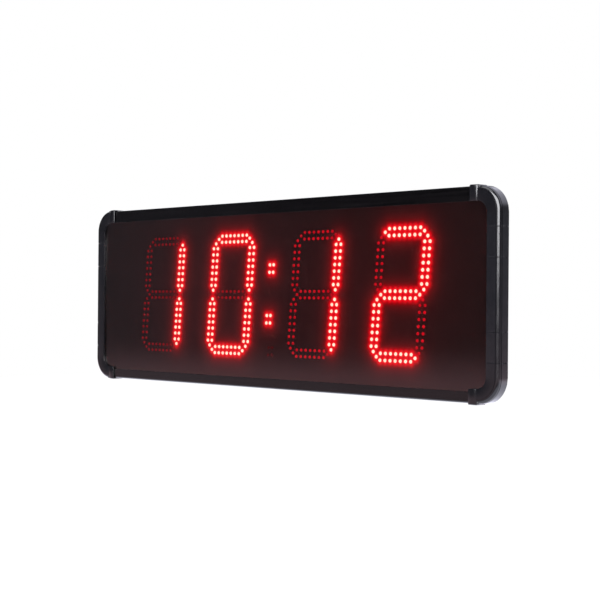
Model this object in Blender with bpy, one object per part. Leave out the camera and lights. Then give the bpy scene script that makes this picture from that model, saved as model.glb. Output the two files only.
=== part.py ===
"""Wall-hung gym round timer with four 200 mm seven-segment LED digits and a colon.

Frame: X to the right as seen from the front, Y from the viewer to the wall, Z up.
The origin is the middle of the wall bracket's back face, at half the display's height.
All lengths below are millimetres, and new_object() turns them into metres. A depth is
counted backwards from the foremost plane of the frame; depth_y() turns it into Y.
"""

import math

import bmesh
import bpy
from mathutils import Vector

MM = 0.001
GAP = 0.3

# Display frame
HALF_WIDTH = 467.0
HALF_HEIGHT = 150.5
RAIL_HALF_HEIGHT = 150.1
COLLAR_HALF_HEIGHT = 152.0
OPENING_HALF_WIDTH = 444.6
CAP_INNER_Z = 129.5
BOTTOM_OPENING_Z = 134.0
OUTER_RADIUS = 37.0
INNER_RADIUS = 17.5
FRAME_DEPTH = 21.2
CORNER_STEPS = 9

# Side caps: five moulded modules a side
CAP_FRONT = 1.0
CAP_FILLET = 5.4
CAP_WALL = 2.5
FLANGE_BACK = 4.2
REAR_FLANGE = 14.0
REAR_WALL = 2.5
FILLET_STEPS = 5
CORNER_SEAM_Z = 93.0
MIDDLE_SEAM_Z = 51.0
COLLAR_START_X = 414.0
COLLAR_END_X = 428.0
COLLAR_WALL = 1.6
COLLAR_FRONT_WALL = 2.7
COLLAR_BEVEL = 1.6

# Rails
RAIL_FRONT = 3.0
RAIL_BEAD = 3.5
GROOVE_WIDTH = 0.6
GROOVE_DEPTH = 0.6
RAIL_END_X = COLLAR_END_X - 1.0 - GAP

# Filter, gasket, face plate and rear panel
FILTER_FRONT = 4.5
FILTER_THICKNESS = 2.0
FILTER_HALF_WIDTH = 460.0
FILTER_HALF_HEIGHT = 143.0
FILTER_RADIUS = 30.0
GASKET_THICKNESS = 2.0
GASKET_INSET = 1.0
GASKET_HALF_WIDTH = 448.5
GASKET_HALF_HEIGHT = 137.0
GASKET_INNER_RADIUS = 22.0
FACE_PLATE_THICKNESS = 1.2
FACE_PLATE_HALF_WIDTH = 452.0
FACE_PLATE_HALF_HEIGHT = 138.0
PANEL_THICKNESS = 1.5
PANEL_HALF_WIDTH = 465.5
PANEL_HALF_HEIGHT = 148.5
PANEL_RADIUS = 35.0

# Rear housing and wall bracket
BRACKET_THICKNESS = 2.0
HOUSING_BACK_Y = -4.0
HOUSING_DEPTH = 36.0
HOUSING_WALL = 1.2
HOUSING_HALF_WIDTH = 300.0
HOUSING_HALF_HEIGHT = 90.0
HOUSING_FLANGE = 12.0
HOUSING_RADIUS = 4.0
BRACKET_HALF_WIDTH = 230.0
BRACKET_HALF_HEIGHT = 45.0
HOOK_X = 150.0
HOOK_WIDTH = 20.0
HOOK_RISE = 10.0
HOOK_SLOT_WIDTH = 26.0
HOOK_SLOT_HEIGHT = 15.0
WALL_SLOT_X = 200.0
WALL_SLOT_Z = 28.0
WALL_SLOT_LENGTH = 16.0
WALL_SLOT_WIDTH = 6.5

VENT_COUNT = 8
VENT_START_X = -230.0
VENT_PITCH = 12.0
VENT_LENGTH = 22.0
VENT_WIDTH = 3.0
BEND_GAP = 0.5

# The stack from the wall to the front
PANEL_BACK_Y = HOUSING_BACK_Y - HOUSING_DEPTH - GAP
FRAME_BACK_Y = PANEL_BACK_Y - PANEL_THICKNESS - GAP
FRONT_Y = FRAME_BACK_Y - FRAME_DEPTH
HOUSING_FRONT_Y = HOUSING_BACK_Y - HOUSING_DEPTH
HOUSING_INNER_Y = HOUSING_BACK_Y - HOUSING_WALL

# Digits: single LEDs on a square pitch, leaning to the right
LED_PITCH = 10.16
SLANT = 0.09
OUTER_DIGIT_X = 278.6
INNER_DIGIT_X = 99.1
LED_TIP = 6.8
BOARD_FRONT = 16.0
BOARD_THICKNESS = 1.6
DIGIT_BOARD_HALF_WIDTH = 78.0
DIGIT_BOARD_HALF_HEIGHT = 118.0
SEGMENT_HALF_LENGTH = 4.1 * LED_PITCH
SEGMENT_HALF_WIDTH = 0.75 * LED_PITCH
SEGMENT_ROW_Z = 9.0 * LED_PITCH
SEGMENT_COLUMN_X = 4.46 * LED_PITCH
SEGMENT_COLUMN_Z = 4.5 * LED_PITCH
EMBED = 0.2
COLON_BOARD_HALF_WIDTH = 19.0
COLON_HALF_SIZE = 0.85 * LED_PITCH
COLON_UPPER = (-0.30 * LED_PITCH, 4.08 * LED_PITCH)
COLON_LOWER = (-0.24 * LED_PITCH, -3.88 * LED_PITCH)
POINT_CLUSTER = (0.70 * LED_PITCH, -8.90 * LED_PITCH)
RECEIVER_X = -0.75 * LED_PITCH
RECEIVER_HALF_WIDTH = 3.0
RECEIVER_HALF_HEIGHT = 3.5
RECEIVER_RADIUS = 0.8
RECEIVER_RECESS = 2.0
BOARD_RAIL_Z = 106.0
BOARD_RAIL_HALF_HEIGHT = 7.0
BOARD_RAIL_HALF_WIDTH = 365.0
BOARD_RAIL_WALL = 1.5

# Screws
SCREW_INSET = 8.0
SCREW_RADIUS = 1.5
SCREW_HOLE_RADIUS = 1.9
SCREW_HEAD_RADIUS = 2.9
SCREW_HEAD_HEIGHT = 2.0
SCREW_LENGTH = 6.0
SCREW_SIDES = 10
SPACER_SCREW_Z = (CORNER_SEAM_Z + MIDDLE_SEAM_Z) / 2
HOUSING_SCREW_Z = 60.0

# Push buttons under the bottom rail
BUTTON_X = (330.0, 350.0, 370.0)
BUTTON_DEPTH = 14.4
BUTTON_RADIUS = 3.0
BUTTON_HOLE_RADIUS = 3.3
BUTTON_TRAVEL = 1.2
BUTTON_RECESS = 0.3
BUTTON_EDGE = 0.6
COLLAR_RADIUS = 4.0
COLLAR_HEIGHT = 1.3
STEM_RADIUS = 1.8
STEM_HOLE_RADIUS = 2.2
STEM_LENGTH = 3.8
GUIDE_END_CLEARANCE = 12.0
GUIDE_HALF_DEPTH = 3.8
GUIDE_POST = 4.0
GUIDE_WALL = 1.4
GUIDE_CLEARANCE = 0.9
TACT_SIZE = 3.0
TACT_HEIGHT = 3.3

# Power inlet and switch in the housing's bottom wall; heights are above the flange's inner face
SOCKET_Y = HOUSING_BACK_Y - 17.5
SOCKET_FACE_Z = -HOUSING_HALF_HEIGHT - GAP
TAB_HALF_THICKNESS = 0.4
INLET_X = -200.0
INLET_FLANGE = (15.5, 12.5, 2.2)
INLET_SHELL = (13.5, 10.0, 17.5)
INLET_MOUTH = (12.0, 8.0, 13.0)
INLET_MOUTH_CHAMFER = 4.5
INLET_PINS = ((-7.0, -2.0), (0.0, 2.0), (7.0, -2.0))
INLET_PIN_HALF_SIZE = (1.0, 2.0)
INLET_PIN_TIP = 2.5
INLET_TAB_TOP = 25.0
SWITCH_X = -155.0
SWITCH_FLANGE = (10.8, 7.8, 1.7)
SWITCH_SHELL = (9.5, 6.4, 16.0)
SWITCH_CAVITY = (8.4, 5.0, 6.3)
SWITCH_TABS = (-6.0, 0.0)
SWITCH_TAB_HALF_DEPTH = 2.4
SWITCH_TAB_TOP = 22.0
ROCKER_TILT = math.radians(10.0)
ROCKER_HALF_LENGTH = 7.4
ROCKER_HALF_WIDTH = 4.7
ROCKER_PIVOT_Z = -89.0
ROCKER_DIP = -2.2
ROCKER_END_LOW = -3.9
ROCKER_END_HIGH = -1.2
ROCKER_BACK = (5.5, 2.2)
TRUNNION_RADIUS = 1.0
TRUNNION_HOLE_RADIUS = 1.1
TRUNNION_HOLE_HALF_LENGTH = 7.0
TRUNNION_HALF_LENGTH = 5.6

# Power supply; a component is (x, z, height above its board)
SUPPLY_X = (-262.0, -133.0)
SUPPLY_HALF_HEIGHT = 49.0
SUPPLY_DEPTH = 30.0
SUPPLY_LEDGE = 15.0
SUPPLY_WALL = 1.2
SUPPLY_BOARD_RISE = 4.0
SUPPLY_TERMINALS = ((-261.0, -249.0), (-44.5, 44.5), 10.0)
SUPPLY_TRANSFORMER = ((-205.0, -175.0), (-16.0, 14.0), 19.0)
SUPPLY_HEAT_SINK = ((-170.0, -166.0), (-40.0, 36.0), 20.0)
SUPPLY_CAPACITORS_X = (-222.0, -152.0)
SUPPLY_CAPACITOR_Z = 26.0
SUPPLY_CAPACITOR_RADIUS = 9.0
SUPPLY_CAPACITOR_HEIGHT = 18.0

# Control board, its carrier and what stands on it
CONTROL_X = (-60.0, 90.0)
CONTROL_Z = (-60.0, 50.0)
CONTROL_FRONT_Y = PANEL_BACK_Y + 6.6
CARRIER_BORDER = 8.0
PROCESSOR = ((8.0, 22.0), (-7.0, 7.0), 1.6)
RIBBON_HEADER = ((-10.0, 10.0), (-50.0, -41.0), 8.5)
DRIVER_X = (-46.0, -26.0, -6.0, 14.0)
DRIVER_LENGTH = 13.0
DRIVER_Z = (-30.0, -23.0)
DRIVER_HEIGHT = 2.2
CONTROL_CAPACITORS_X = (40.0, 56.0)
CONTROL_CAPACITOR_Z = 30.0
CONTROL_CAPACITOR_RADIUS = 5.0
CONTROL_CAPACITOR_HEIGHT = 11.0
TERMINAL_X = (-58.0, -36.0)
TERMINAL_Z = (34.0, 48.0)
TERMINAL_HEIGHT = 11.0
TERMINAL_CHAMFER = (5.0, 4.0)
BATTERY_PLACE = (62.0, -35.0)
BATTERY_RADIUS = 10.0
BATTERY_HEIGHT = 3.2

# Sounder and cables
SOUNDER_X = 180.0
SOUNDER_RADIUS = 13.5
SOUNDER_HEIGHT = 17.0
SOUNDER_RIM_WIDTH = 1.5
SOUNDER_RIM_HEIGHT = 3.0
SOUND_HOLE_RADIUS = 2.0
SOUND_HOLE_CIRCLE = 7.0
SOUND_HOLE_COUNT = 6
RIBBON_WIDTH = 12.7
RIBBON_THICKNESS = 1.0
RIBBON_Z = -40.0
RIBBON_BOW = 2.0
RIBBON_STEPS = 8
RIBBON_SLOT_MARGIN = 10.0
RIBBON_SLOT_HEIGHT = 8.0
LEAD_RADIUS = 2.4
LEAD_STEPS = 4


def depth_y(depth):
    """Y of a plane that lies this deep behind the frame's foremost plane."""
    return FRONT_Y + depth


def material(name, colour, roughness, metallic=0.0):
    made = bpy.data.materials.new(name)
    made.use_nodes = True
    shader = made.node_tree.nodes["Principled BSDF"]
    shader.inputs["Base Color"].default_value = (*colour, 1.0)
    shader.inputs["Roughness"].default_value = roughness
    shader.inputs["Metallic"].default_value = metallic
    made.diffuse_color = (*colour, 1.0)
    return made


# Outlines, as lists of 2D points


def rectangle(low, high):
    return [(low[0], low[1]), (high[0], low[1]), (high[0], high[1]), (low[0], high[1])]


def centred(x, y, half_x, half_y):
    return rectangle((x - half_x, y - half_y), (x + half_x, y + half_y))


def circle(centre, radius, sides=12):
    turns = [2 * math.pi * (i + 0.5) / sides for i in range(sides)]
    return [(centre[0] + radius * math.cos(t), centre[1] + radius * math.sin(t)) for t in turns]


def rounded_rectangle(half_width, half_height, radius, steps=6):
    points = []
    for quarter, (sx, sz) in enumerate(((1, 1), (-1, 1), (-1, -1), (1, -1))):
        centre = (sx * (half_width - radius), sz * (half_height - radius))
        for step in range(steps + 1):
            turn = math.pi / 2 * (quarter + step / steps)
            points.append((centre[0] + radius * math.cos(turn), centre[1] + radius * math.sin(turn)))
    return points


def slot(centre, length, width, along_x, steps=4):
    """An obround: a slot with round ends."""
    reach = (length - width) / 2
    points = []
    for end in (1, -1):
        for step in range(steps + 1):
            turn = -math.pi / 2 + math.pi * step / steps + (0 if end == 1 else math.pi)
            a = end * reach + width / 2 * math.cos(turn)
            b = width / 2 * math.sin(turn)
            points.append((centre[0] + a, centre[1] + b) if along_x else (centre[0] - b, centre[1] + a))
    return points


# Solids, added to a bmesh in millimetres


def to_3d(a, b, height, axis):
    return {"X": (height, a, b), "Y": (a, height, b), "Z": (a, b, height)}[axis]


def loft(bm, rings):
    """Joins rings of equally many points with quads and closes both ends."""
    made = [[bm.verts.new(point) for point in ring] for ring in rings]
    count = len(made[0])
    for first, second in zip(made, made[1:]):
        for i in range(count):
            bm.faces.new((first[i], first[(i + 1) % count], second[(i + 1) % count], second[i]))
    bm.faces.new(made[0])
    bm.faces.new(made[-1])


def prism(bm, outline, low, high, axis):
    loft(bm, [[to_3d(a, b, h, axis) for a, b in outline] for h in (low, high)])


def box(bm, x, y, z):
    prism(bm, rectangle((x[0], y[0]), (x[1], y[1])), z[0], z[1], "Z")


def turned(bm, centre, profile, axis, sides=16):
    """A stack of circles (radius, height) about a centre, one body."""
    loft(bm, [[to_3d(a, b, h, axis) for a, b in circle(centre, r, sides)] for r, h in profile])


def polyline_strip(points, thickness):
    """The outline of a strip of this thickness along a route of 2D points."""
    route = [Vector(point) for point in points]
    sides = []
    for i, here in enumerate(route):
        run = (route[min(i + 1, len(route) - 1)] - route[max(i - 1, 0)]).normalized()
        sides.append((here, Vector((-run.y, run.x)) * thickness / 2))
    return [tuple(p + n) for p, n in sides] + [tuple(p - n) for p, n in reversed(sides)]


# Objects


def mesh_from(bm, name, origin, surface=None):
    bmesh.ops.translate(bm, verts=bm.verts, vec=-Vector(origin))
    bmesh.ops.scale(bm, verts=bm.verts, vec=(MM, MM, MM))
    bmesh.ops.recalc_face_normals(bm, faces=bm.faces)
    mesh = bpy.data.meshes.new(name)
    bm.to_mesh(mesh)
    bm.free()
    if surface:
        mesh.materials.append(surface)
        mesh.shade_smooth()
        mesh.set_sharp_from_angle(angle=math.radians(30))
    return mesh


def new_object(name, bm, surface, origin, parent):
    """An object from a bmesh drawn in the timer's frame, with its own origin in millimetres."""
    made = bpy.data.objects.new(name, mesh_from(bm, name, origin, surface))
    made.location = Vector(origin) * MM
    made.parent = parent
    bpy.context.scene.collection.objects.link(made)
    return made


def boolean(target, bm, operation):
    """Adds or removes the shapes in bm, drawn in the timer's frame, with a Boolean modifier."""
    name = f"{target.name}_{operation.lower()}"
    tool = bpy.data.objects.new(name, mesh_from(bm, name, target.location / MM))
    tool.parent = target
    tool.hide_render = True
    tool.display_type = "WIRE"
    bpy.context.scene.collection.objects.link(tool)
    modifier = target.modifiers.new(operation.title(), "BOOLEAN")
    modifier.operation = operation
    modifier.solver = "EXACT"
    modifier.object = tool


# Sub-parts of the frame


def cap_section(width):
    """The side cap's C section as (inset from the outer edge, depth) points."""
    fillet = []
    for step in range(FILLET_STEPS + 1):
        turn = math.pi / 2 * step / FILLET_STEPS
        inset = CAP_FILLET * (1 - math.cos(turn))
        fillet.append((inset, CAP_FRONT + CAP_FILLET * (1 - math.sin(turn))))
    rear = FRAME_DEPTH - REAR_WALL
    inside = [(width, CAP_FRONT), (width, FLANGE_BACK), (CAP_WALL, FLANGE_BACK), (CAP_WALL, rear)]
    return [(0.0, FRAME_DEPTH), *fillet, *inside, (REAR_FLANGE, rear), (REAR_FLANGE, FRAME_DEPTH)]


def cap_ring(outer, inner, side, up):
    """The cap's section set between two points of the frame's plan, mirrored to its quarter."""
    width = math.dist(outer, inner)
    ring = []
    for inset, depth in cap_section(width):
        share = inset / width
        x = outer[0] + (inner[0] - outer[0]) * share
        z = outer[1] + (inner[1] - outer[1]) * share
        ring.append((side * x, depth_y(depth), up * z))
    return ring


def corner_stations():
    """Outer and inner plan points of the upper right corner, from its lower seam to its collar."""
    centre = (HALF_WIDTH - OUTER_RADIUS, HALF_HEIGHT - OUTER_RADIUS)
    offset = (
        centre[0] - OPENING_HALF_WIDTH + INNER_RADIUS,
        centre[1] - CAP_INNER_Z + INNER_RADIUS,
    )
    low = CORNER_SEAM_Z + GAP / 2
    stations = [((HALF_WIDTH, low), (OPENING_HALF_WIDTH, low))]
    for step in range(CORNER_STEPS + 1):
        turn = math.pi / 2 * step / CORNER_STEPS
        ray = (math.cos(turn), math.sin(turn))
        along = ray[0] * offset[0] + ray[1] * offset[1]
        reach = math.sqrt(along**2 - offset[0] ** 2 - offset[1] ** 2 + INNER_RADIUS**2) - along
        outer = (centre[0] + OUTER_RADIUS * ray[0], centre[1] + OUTER_RADIUS * ray[1])
        stations.append((outer, (centre[0] + reach * ray[0], centre[1] + reach * ray[1])))
    end = COLLAR_END_X - 1.0
    stations.append(((end, HALF_HEIGHT), (end, CAP_INNER_Z)))
    return stations


def collar_outline(up):
    """The collar that laps over a rail's end, as (Y, Z) points."""
    outer = COLLAR_HALF_HEIGHT
    points = [
        (FRAME_DEPTH, outer),
        (COLLAR_BEVEL, outer),
        (COLLAR_BEVEL * 0.3, outer - COLLAR_BEVEL * 0.3),
        (0.0, outer - COLLAR_BEVEL),
        (0.0, CAP_INNER_Z),
        (COLLAR_FRONT_WALL, CAP_INNER_Z),
        (COLLAR_FRONT_WALL, outer - COLLAR_WALL),
        (FRAME_DEPTH, outer - COLLAR_WALL),
    ]
    return [(depth_y(depth), up * z) for depth, z in points]


def screw_hole(x, z):
    bm = bmesh.new()
    prism(bm, circle((x, z), SCREW_HOLE_RADIUS, 8), depth_y(FRAME_DEPTH - 5), PANEL_BACK_Y + 2, "Y")
    return bm


def corner_screw_place():
    reach = (OUTER_RADIUS - SCREW_INSET) * math.sqrt(0.5)
    return HALF_WIDTH - OUTER_RADIUS + reach, HALF_HEIGHT - OUTER_RADIUS + reach


def make_corner(name, side, up, surface, parent):
    bm = bmesh.new()
    loft(bm, [cap_ring(outer, inner, side, up) for outer, inner in corner_stations()])
    x, z = corner_screw_place()
    corner = new_object(name, bm, surface, (side * x, depth_y(FRAME_DEPTH), up * z), parent)
    collar = bmesh.new()
    ends = sorted((side * COLLAR_START_X, side * COLLAR_END_X))
    prism(collar, collar_outline(up), ends[0], ends[1], "X")
    boolean(corner, collar, "UNION")
    boolean(corner, screw_hole(side * x, up * z), "DIFFERENCE")


def make_straight_module(name, side, low, high, surface, parent):
    bm = bmesh.new()
    ends = [((HALF_WIDTH, z), (OPENING_HALF_WIDTH, z)) for z in (low + GAP / 2, high - GAP / 2)]
    loft(bm, [cap_ring(outer, inner, side, 1) for outer, inner in ends])
    x = side * (HALF_WIDTH - SCREW_INSET)
    z = (low + high) / 2
    module = new_object(name, bm, surface, (x, depth_y(FRAME_DEPTH), z), parent)
    boolean(module, screw_hole(x, z), "DIFFERENCE")


def rail_outline(up, inner_z):
    """A rail's C section with a rounded outer bead and a groove beside it, as (Y, Z) points."""
    bead = []
    for step in range(FILLET_STEPS + 1):
        turn = math.pi / 2 * step / FILLET_STEPS
        inset = RAIL_BEAD * (1 - math.cos(turn))
        bead.append((RAIL_FRONT + RAIL_BEAD * (1 - math.sin(turn)), inset))
    groove_end = RAIL_BEAD + GROOVE_WIDTH
    lip = RAIL_HALF_HEIGHT - inner_z
    rear = FRAME_DEPTH - REAR_WALL
    points = [
        (FRAME_DEPTH, 0.0),
        *bead,
        (RAIL_FRONT + GROOVE_DEPTH, RAIL_BEAD),
        (RAIL_FRONT + GROOVE_DEPTH, groove_end),
        (RAIL_FRONT, groove_end),
        (RAIL_FRONT, lip),
        (FLANGE_BACK, lip),
        (FLANGE_BACK, CAP_WALL),
        (rear, CAP_WALL),
        (rear, REAR_FLANGE),
        (FRAME_DEPTH, REAR_FLANGE),
    ]
    return [(depth_y(depth), up * (RAIL_HALF_HEIGHT - inset)) for depth, inset in points]


def make_rail(name, up, inner_z, surface, parent):
    bm = bmesh.new()
    prism(bm, rail_outline(up, inner_z), -RAIL_END_X, RAIL_END_X, "X")
    z = up * (RAIL_HALF_HEIGHT - SCREW_INSET)
    rail = new_object(name, bm, surface, (0, depth_y(FRAME_DEPTH), z), parent)
    boolean(rail, screw_hole(0, z), "DIFFERENCE")
    return rail


def make_filter(surface, parent):
    bm = bmesh.new()
    outline = rounded_rectangle(FILTER_HALF_WIDTH, FILTER_HALF_HEIGHT, FILTER_RADIUS)
    front = depth_y(FILTER_FRONT)
    prism(bm, outline, front, front + FILTER_THICKNESS, "Y")
    new_object("front_filter", bm, surface, (0, front, 0), parent)


def make_gasket(surface, parent):
    """A foam frame behind the filter's edge."""
    front = depth_y(FILTER_FRONT + FILTER_THICKNESS + GAP)
    bm = bmesh.new()
    inset = GASKET_INSET
    outer = rounded_rectangle(
        FILTER_HALF_WIDTH - inset, FILTER_HALF_HEIGHT - inset, FILTER_RADIUS - inset
    )
    prism(bm, outer, front, front + GASKET_THICKNESS, "Y")
    gasket = new_object("filter_gasket", bm, surface, (0, front, 0), parent)
    inner = bmesh.new()
    opening = rounded_rectangle(GASKET_HALF_WIDTH, GASKET_HALF_HEIGHT, GASKET_INNER_RADIUS)
    prism(inner, opening, front - 1, front + GASKET_THICKNESS + 1, "Y")
    boolean(gasket, inner, "DIFFERENCE")


def make_face_plate(digits, surface, parent):
    """A black sheet behind the gasket that the LED bars and the receiver look through."""
    front = depth_y(FILTER_FRONT + FILTER_THICKNESS + GAP + GASKET_THICKNESS + GAP)
    back = front + FACE_PLATE_THICKNESS
    bm = bmesh.new()
    outline = centred(0.0, 0.0, FACE_PLATE_HALF_WIDTH, FACE_PLATE_HALF_HEIGHT)
    prism(bm, outline, front, back, "Y")
    plate = new_object("face_plate", bm, surface, (0, front, 0), parent)
    windows = bmesh.new()
    outlines = [
        [(x + a, b) for a, b in segment_outline(centre, upright, GAP)]
        for x in digits
        for centre, upright in segment_places()
    ]
    outlines += colon_outlines(GAP)
    outlines.append(
        centred(RECEIVER_X, 0.0, RECEIVER_HALF_WIDTH + GAP, RECEIVER_HALF_HEIGHT + GAP)
    )
    for outline in outlines:
        prism(windows, outline, front - 1, back + 1, "Y")
    boolean(plate, windows, "DIFFERENCE")


def frame_screw_places():
    """Name and plan place of each screw that holds the rear panel to a rail or a cap module."""
    corner_x, corner_z = corner_screw_place()
    places = {"top_rail": (0.0, RAIL_HALF_HEIGHT - SCREW_INSET)}
    places["bottom_rail"] = (0.0, SCREW_INSET - RAIL_HALF_HEIGHT)
    for hand, side in (("left", -1), ("right", 1)):
        x = side * (HALF_WIDTH - SCREW_INSET)
        places[f"{hand}_upper_corner"] = (side * corner_x, corner_z)
        places[f"{hand}_upper_spacer"] = (x, SPACER_SCREW_Z)
        places[f"{hand}_middle_spacer"] = (x, 0.0)
        places[f"{hand}_lower_spacer"] = (x, -SPACER_SCREW_Z)
        places[f"{hand}_lower_corner"] = (side * corner_x, -corner_z)
    return places


def housing_screw_places():
    x = HOUSING_HALF_WIDTH + HOUSING_FLANGE / 2
    return [(sx * x, sz * HOUSING_SCREW_Z) for sx in (-1, 1) for sz in (-1, 1)]


def make_rear_panel(surface, parent):
    front = FRAME_BACK_Y + GAP
    bm = bmesh.new()
    outline = rounded_rectangle(PANEL_HALF_WIDTH, PANEL_HALF_HEIGHT, PANEL_RADIUS)
    prism(bm, outline, front, PANEL_BACK_Y, "Y")
    panel = new_object("rear_panel", bm, surface, (0, front, 0), parent)
    holes = bmesh.new()
    for place in [*frame_screw_places().values(), *housing_screw_places()]:
        prism(holes, circle(place, SCREW_HOLE_RADIUS, 8), front - 1, PANEL_BACK_Y + 1, "Y")
    length = RIBBON_WIDTH + RIBBON_SLOT_MARGIN
    cable_slot = slot((0.0, RIBBON_Z), length, RIBBON_SLOT_HEIGHT, True)
    prism(holes, cable_slot, front - 1, PANEL_BACK_Y + 1, "Y")
    boolean(panel, holes, "DIFFERENCE")


def make_screw(name, x, z, seat_y, surface, parent):
    """A pan-head screw driven forwards, its head against seat_y."""
    tip = seat_y - SCREW_LENGTH
    profile = [
        (SCREW_RADIUS * 0.5, tip),
        (SCREW_RADIUS, tip + 0.8),
        (SCREW_RADIUS, seat_y + GAP),
        (SCREW_HEAD_RADIUS, seat_y + GAP),
        (SCREW_HEAD_RADIUS, seat_y + GAP + SCREW_HEAD_HEIGHT * 0.5),
        (SCREW_HEAD_RADIUS * 0.7, seat_y + GAP + SCREW_HEAD_HEIGHT),
    ]
    bm = bmesh.new()
    turned(bm, (x, z), profile, "Y", SCREW_SIDES)
    new_object(name, bm, surface, (x, seat_y, z), parent)


# Display boards


def slanted(x, z):
    return x + SLANT * z, z


def segment_places():
    """Centre and direction of a digit's seven bars."""
    places = [((0.0, row * SEGMENT_ROW_Z), False) for row in (-1, 0, 1)]
    for sx in (-1, 1):
        for sz in (-1, 1):
            places.append(((sx * SEGMENT_COLUMN_X, sz * SEGMENT_COLUMN_Z), True))
    return places


def segment_outline(centre, upright, margin=0.0):
    """A pointed bar that holds one segment's sixteen LEDs, slanted like the digit."""
    length = SEGMENT_HALF_LENGTH + margin * math.sqrt(2)
    width = SEGMENT_HALF_WIDTH + margin
    shoulder = length - width
    bar = [
        (-length, 0.0),
        (-shoulder, -width),
        (shoulder, -width),
        (length, 0.0),
        (shoulder, width),
        (-shoulder, width),
    ]
    if upright:
        bar = [(-b, a) for a, b in bar]
    return [slanted(centre[0] + a, centre[1] + b) for a, b in bar]


def make_digit_board(number, x, surface, parent):
    """One digit's circuit board with the bodies of its LEDs."""
    front = depth_y(BOARD_FRONT)
    bm = bmesh.new()
    low = (x - DIGIT_BOARD_HALF_WIDTH, -DIGIT_BOARD_HALF_HEIGHT)
    high = (x + DIGIT_BOARD_HALF_WIDTH, DIGIT_BOARD_HALF_HEIGHT)
    prism(bm, rectangle(low, high), front, front + BOARD_THICKNESS, "Y")
    board = new_object(f"digit_board_{number}", bm, surface, (x, front, 0), parent)
    leds = bmesh.new()
    for centre, upright in segment_places():
        outline = [(x + a, b) for a, b in segment_outline(centre, upright)]
        prism(leds, outline, depth_y(LED_TIP), front + EMBED, "Y")
    boolean(board, leds, "UNION")


def colon_outlines(margin=0.0):
    """The blocks of LEDs between the digits: the colon's two dots and the point."""
    half = COLON_HALF_SIZE + margin
    blocks = [centred(*place, half, half) for place in (COLON_UPPER, COLON_LOWER, POINT_CLUSTER)]
    return [[slanted(a, b) for a, b in block] for block in blocks]


def make_colon_board(surface, parent):
    front = depth_y(BOARD_FRONT)
    bm = bmesh.new()
    low = (-COLON_BOARD_HALF_WIDTH, -DIGIT_BOARD_HALF_HEIGHT)
    high = (COLON_BOARD_HALF_WIDTH, DIGIT_BOARD_HALF_HEIGHT)
    prism(bm, rectangle(low, high), front, front + BOARD_THICKNESS, "Y")
    board = new_object("colon_board", bm, surface, (0, front, 0), parent)
    leds = bmesh.new()
    for outline in colon_outlines():
        prism(leds, outline, depth_y(LED_TIP), front + EMBED, "Y")
    boolean(board, leds, "UNION")


def make_remote_receiver(surface, parent):
    """The infrared receiver that stands on the colon board, between the two dots."""
    back = depth_y(BOARD_FRONT) - GAP
    bm = bmesh.new()
    body = rounded_rectangle(RECEIVER_HALF_WIDTH, RECEIVER_HALF_HEIGHT, RECEIVER_RADIUS, 2)
    outline = [(RECEIVER_X + a, b) for a, b in body]
    prism(bm, outline, depth_y(LED_TIP + RECEIVER_RECESS), back, "Y")
    new_object("remote_receiver", bm, surface, (RECEIVER_X, back, 0), parent)


def make_board_rail(name, z, surface, parent):
    """A hat-section rail between the boards and the rear panel."""
    front = depth_y(BOARD_FRONT) + BOARD_THICKNESS + GAP
    back = FRAME_BACK_Y
    half, wall = BOARD_RAIL_HALF_HEIGHT, BOARD_RAIL_WALL
    outline = [
        (back, z - half),
        (front, z - half),
        (front, z + half),
        (back, z + half),
        (back, z + half - wall),
        (front + wall, z + half - wall),
        (front + wall, z - half + wall),
        (back, z - half + wall),
    ]
    bm = bmesh.new()
    prism(bm, outline, -BOARD_RAIL_HALF_WIDTH, BOARD_RAIL_HALF_WIDTH, "X")
    new_object(name, bm, surface, (0, back, z), parent)


# Rear housing and wall bracket


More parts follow.
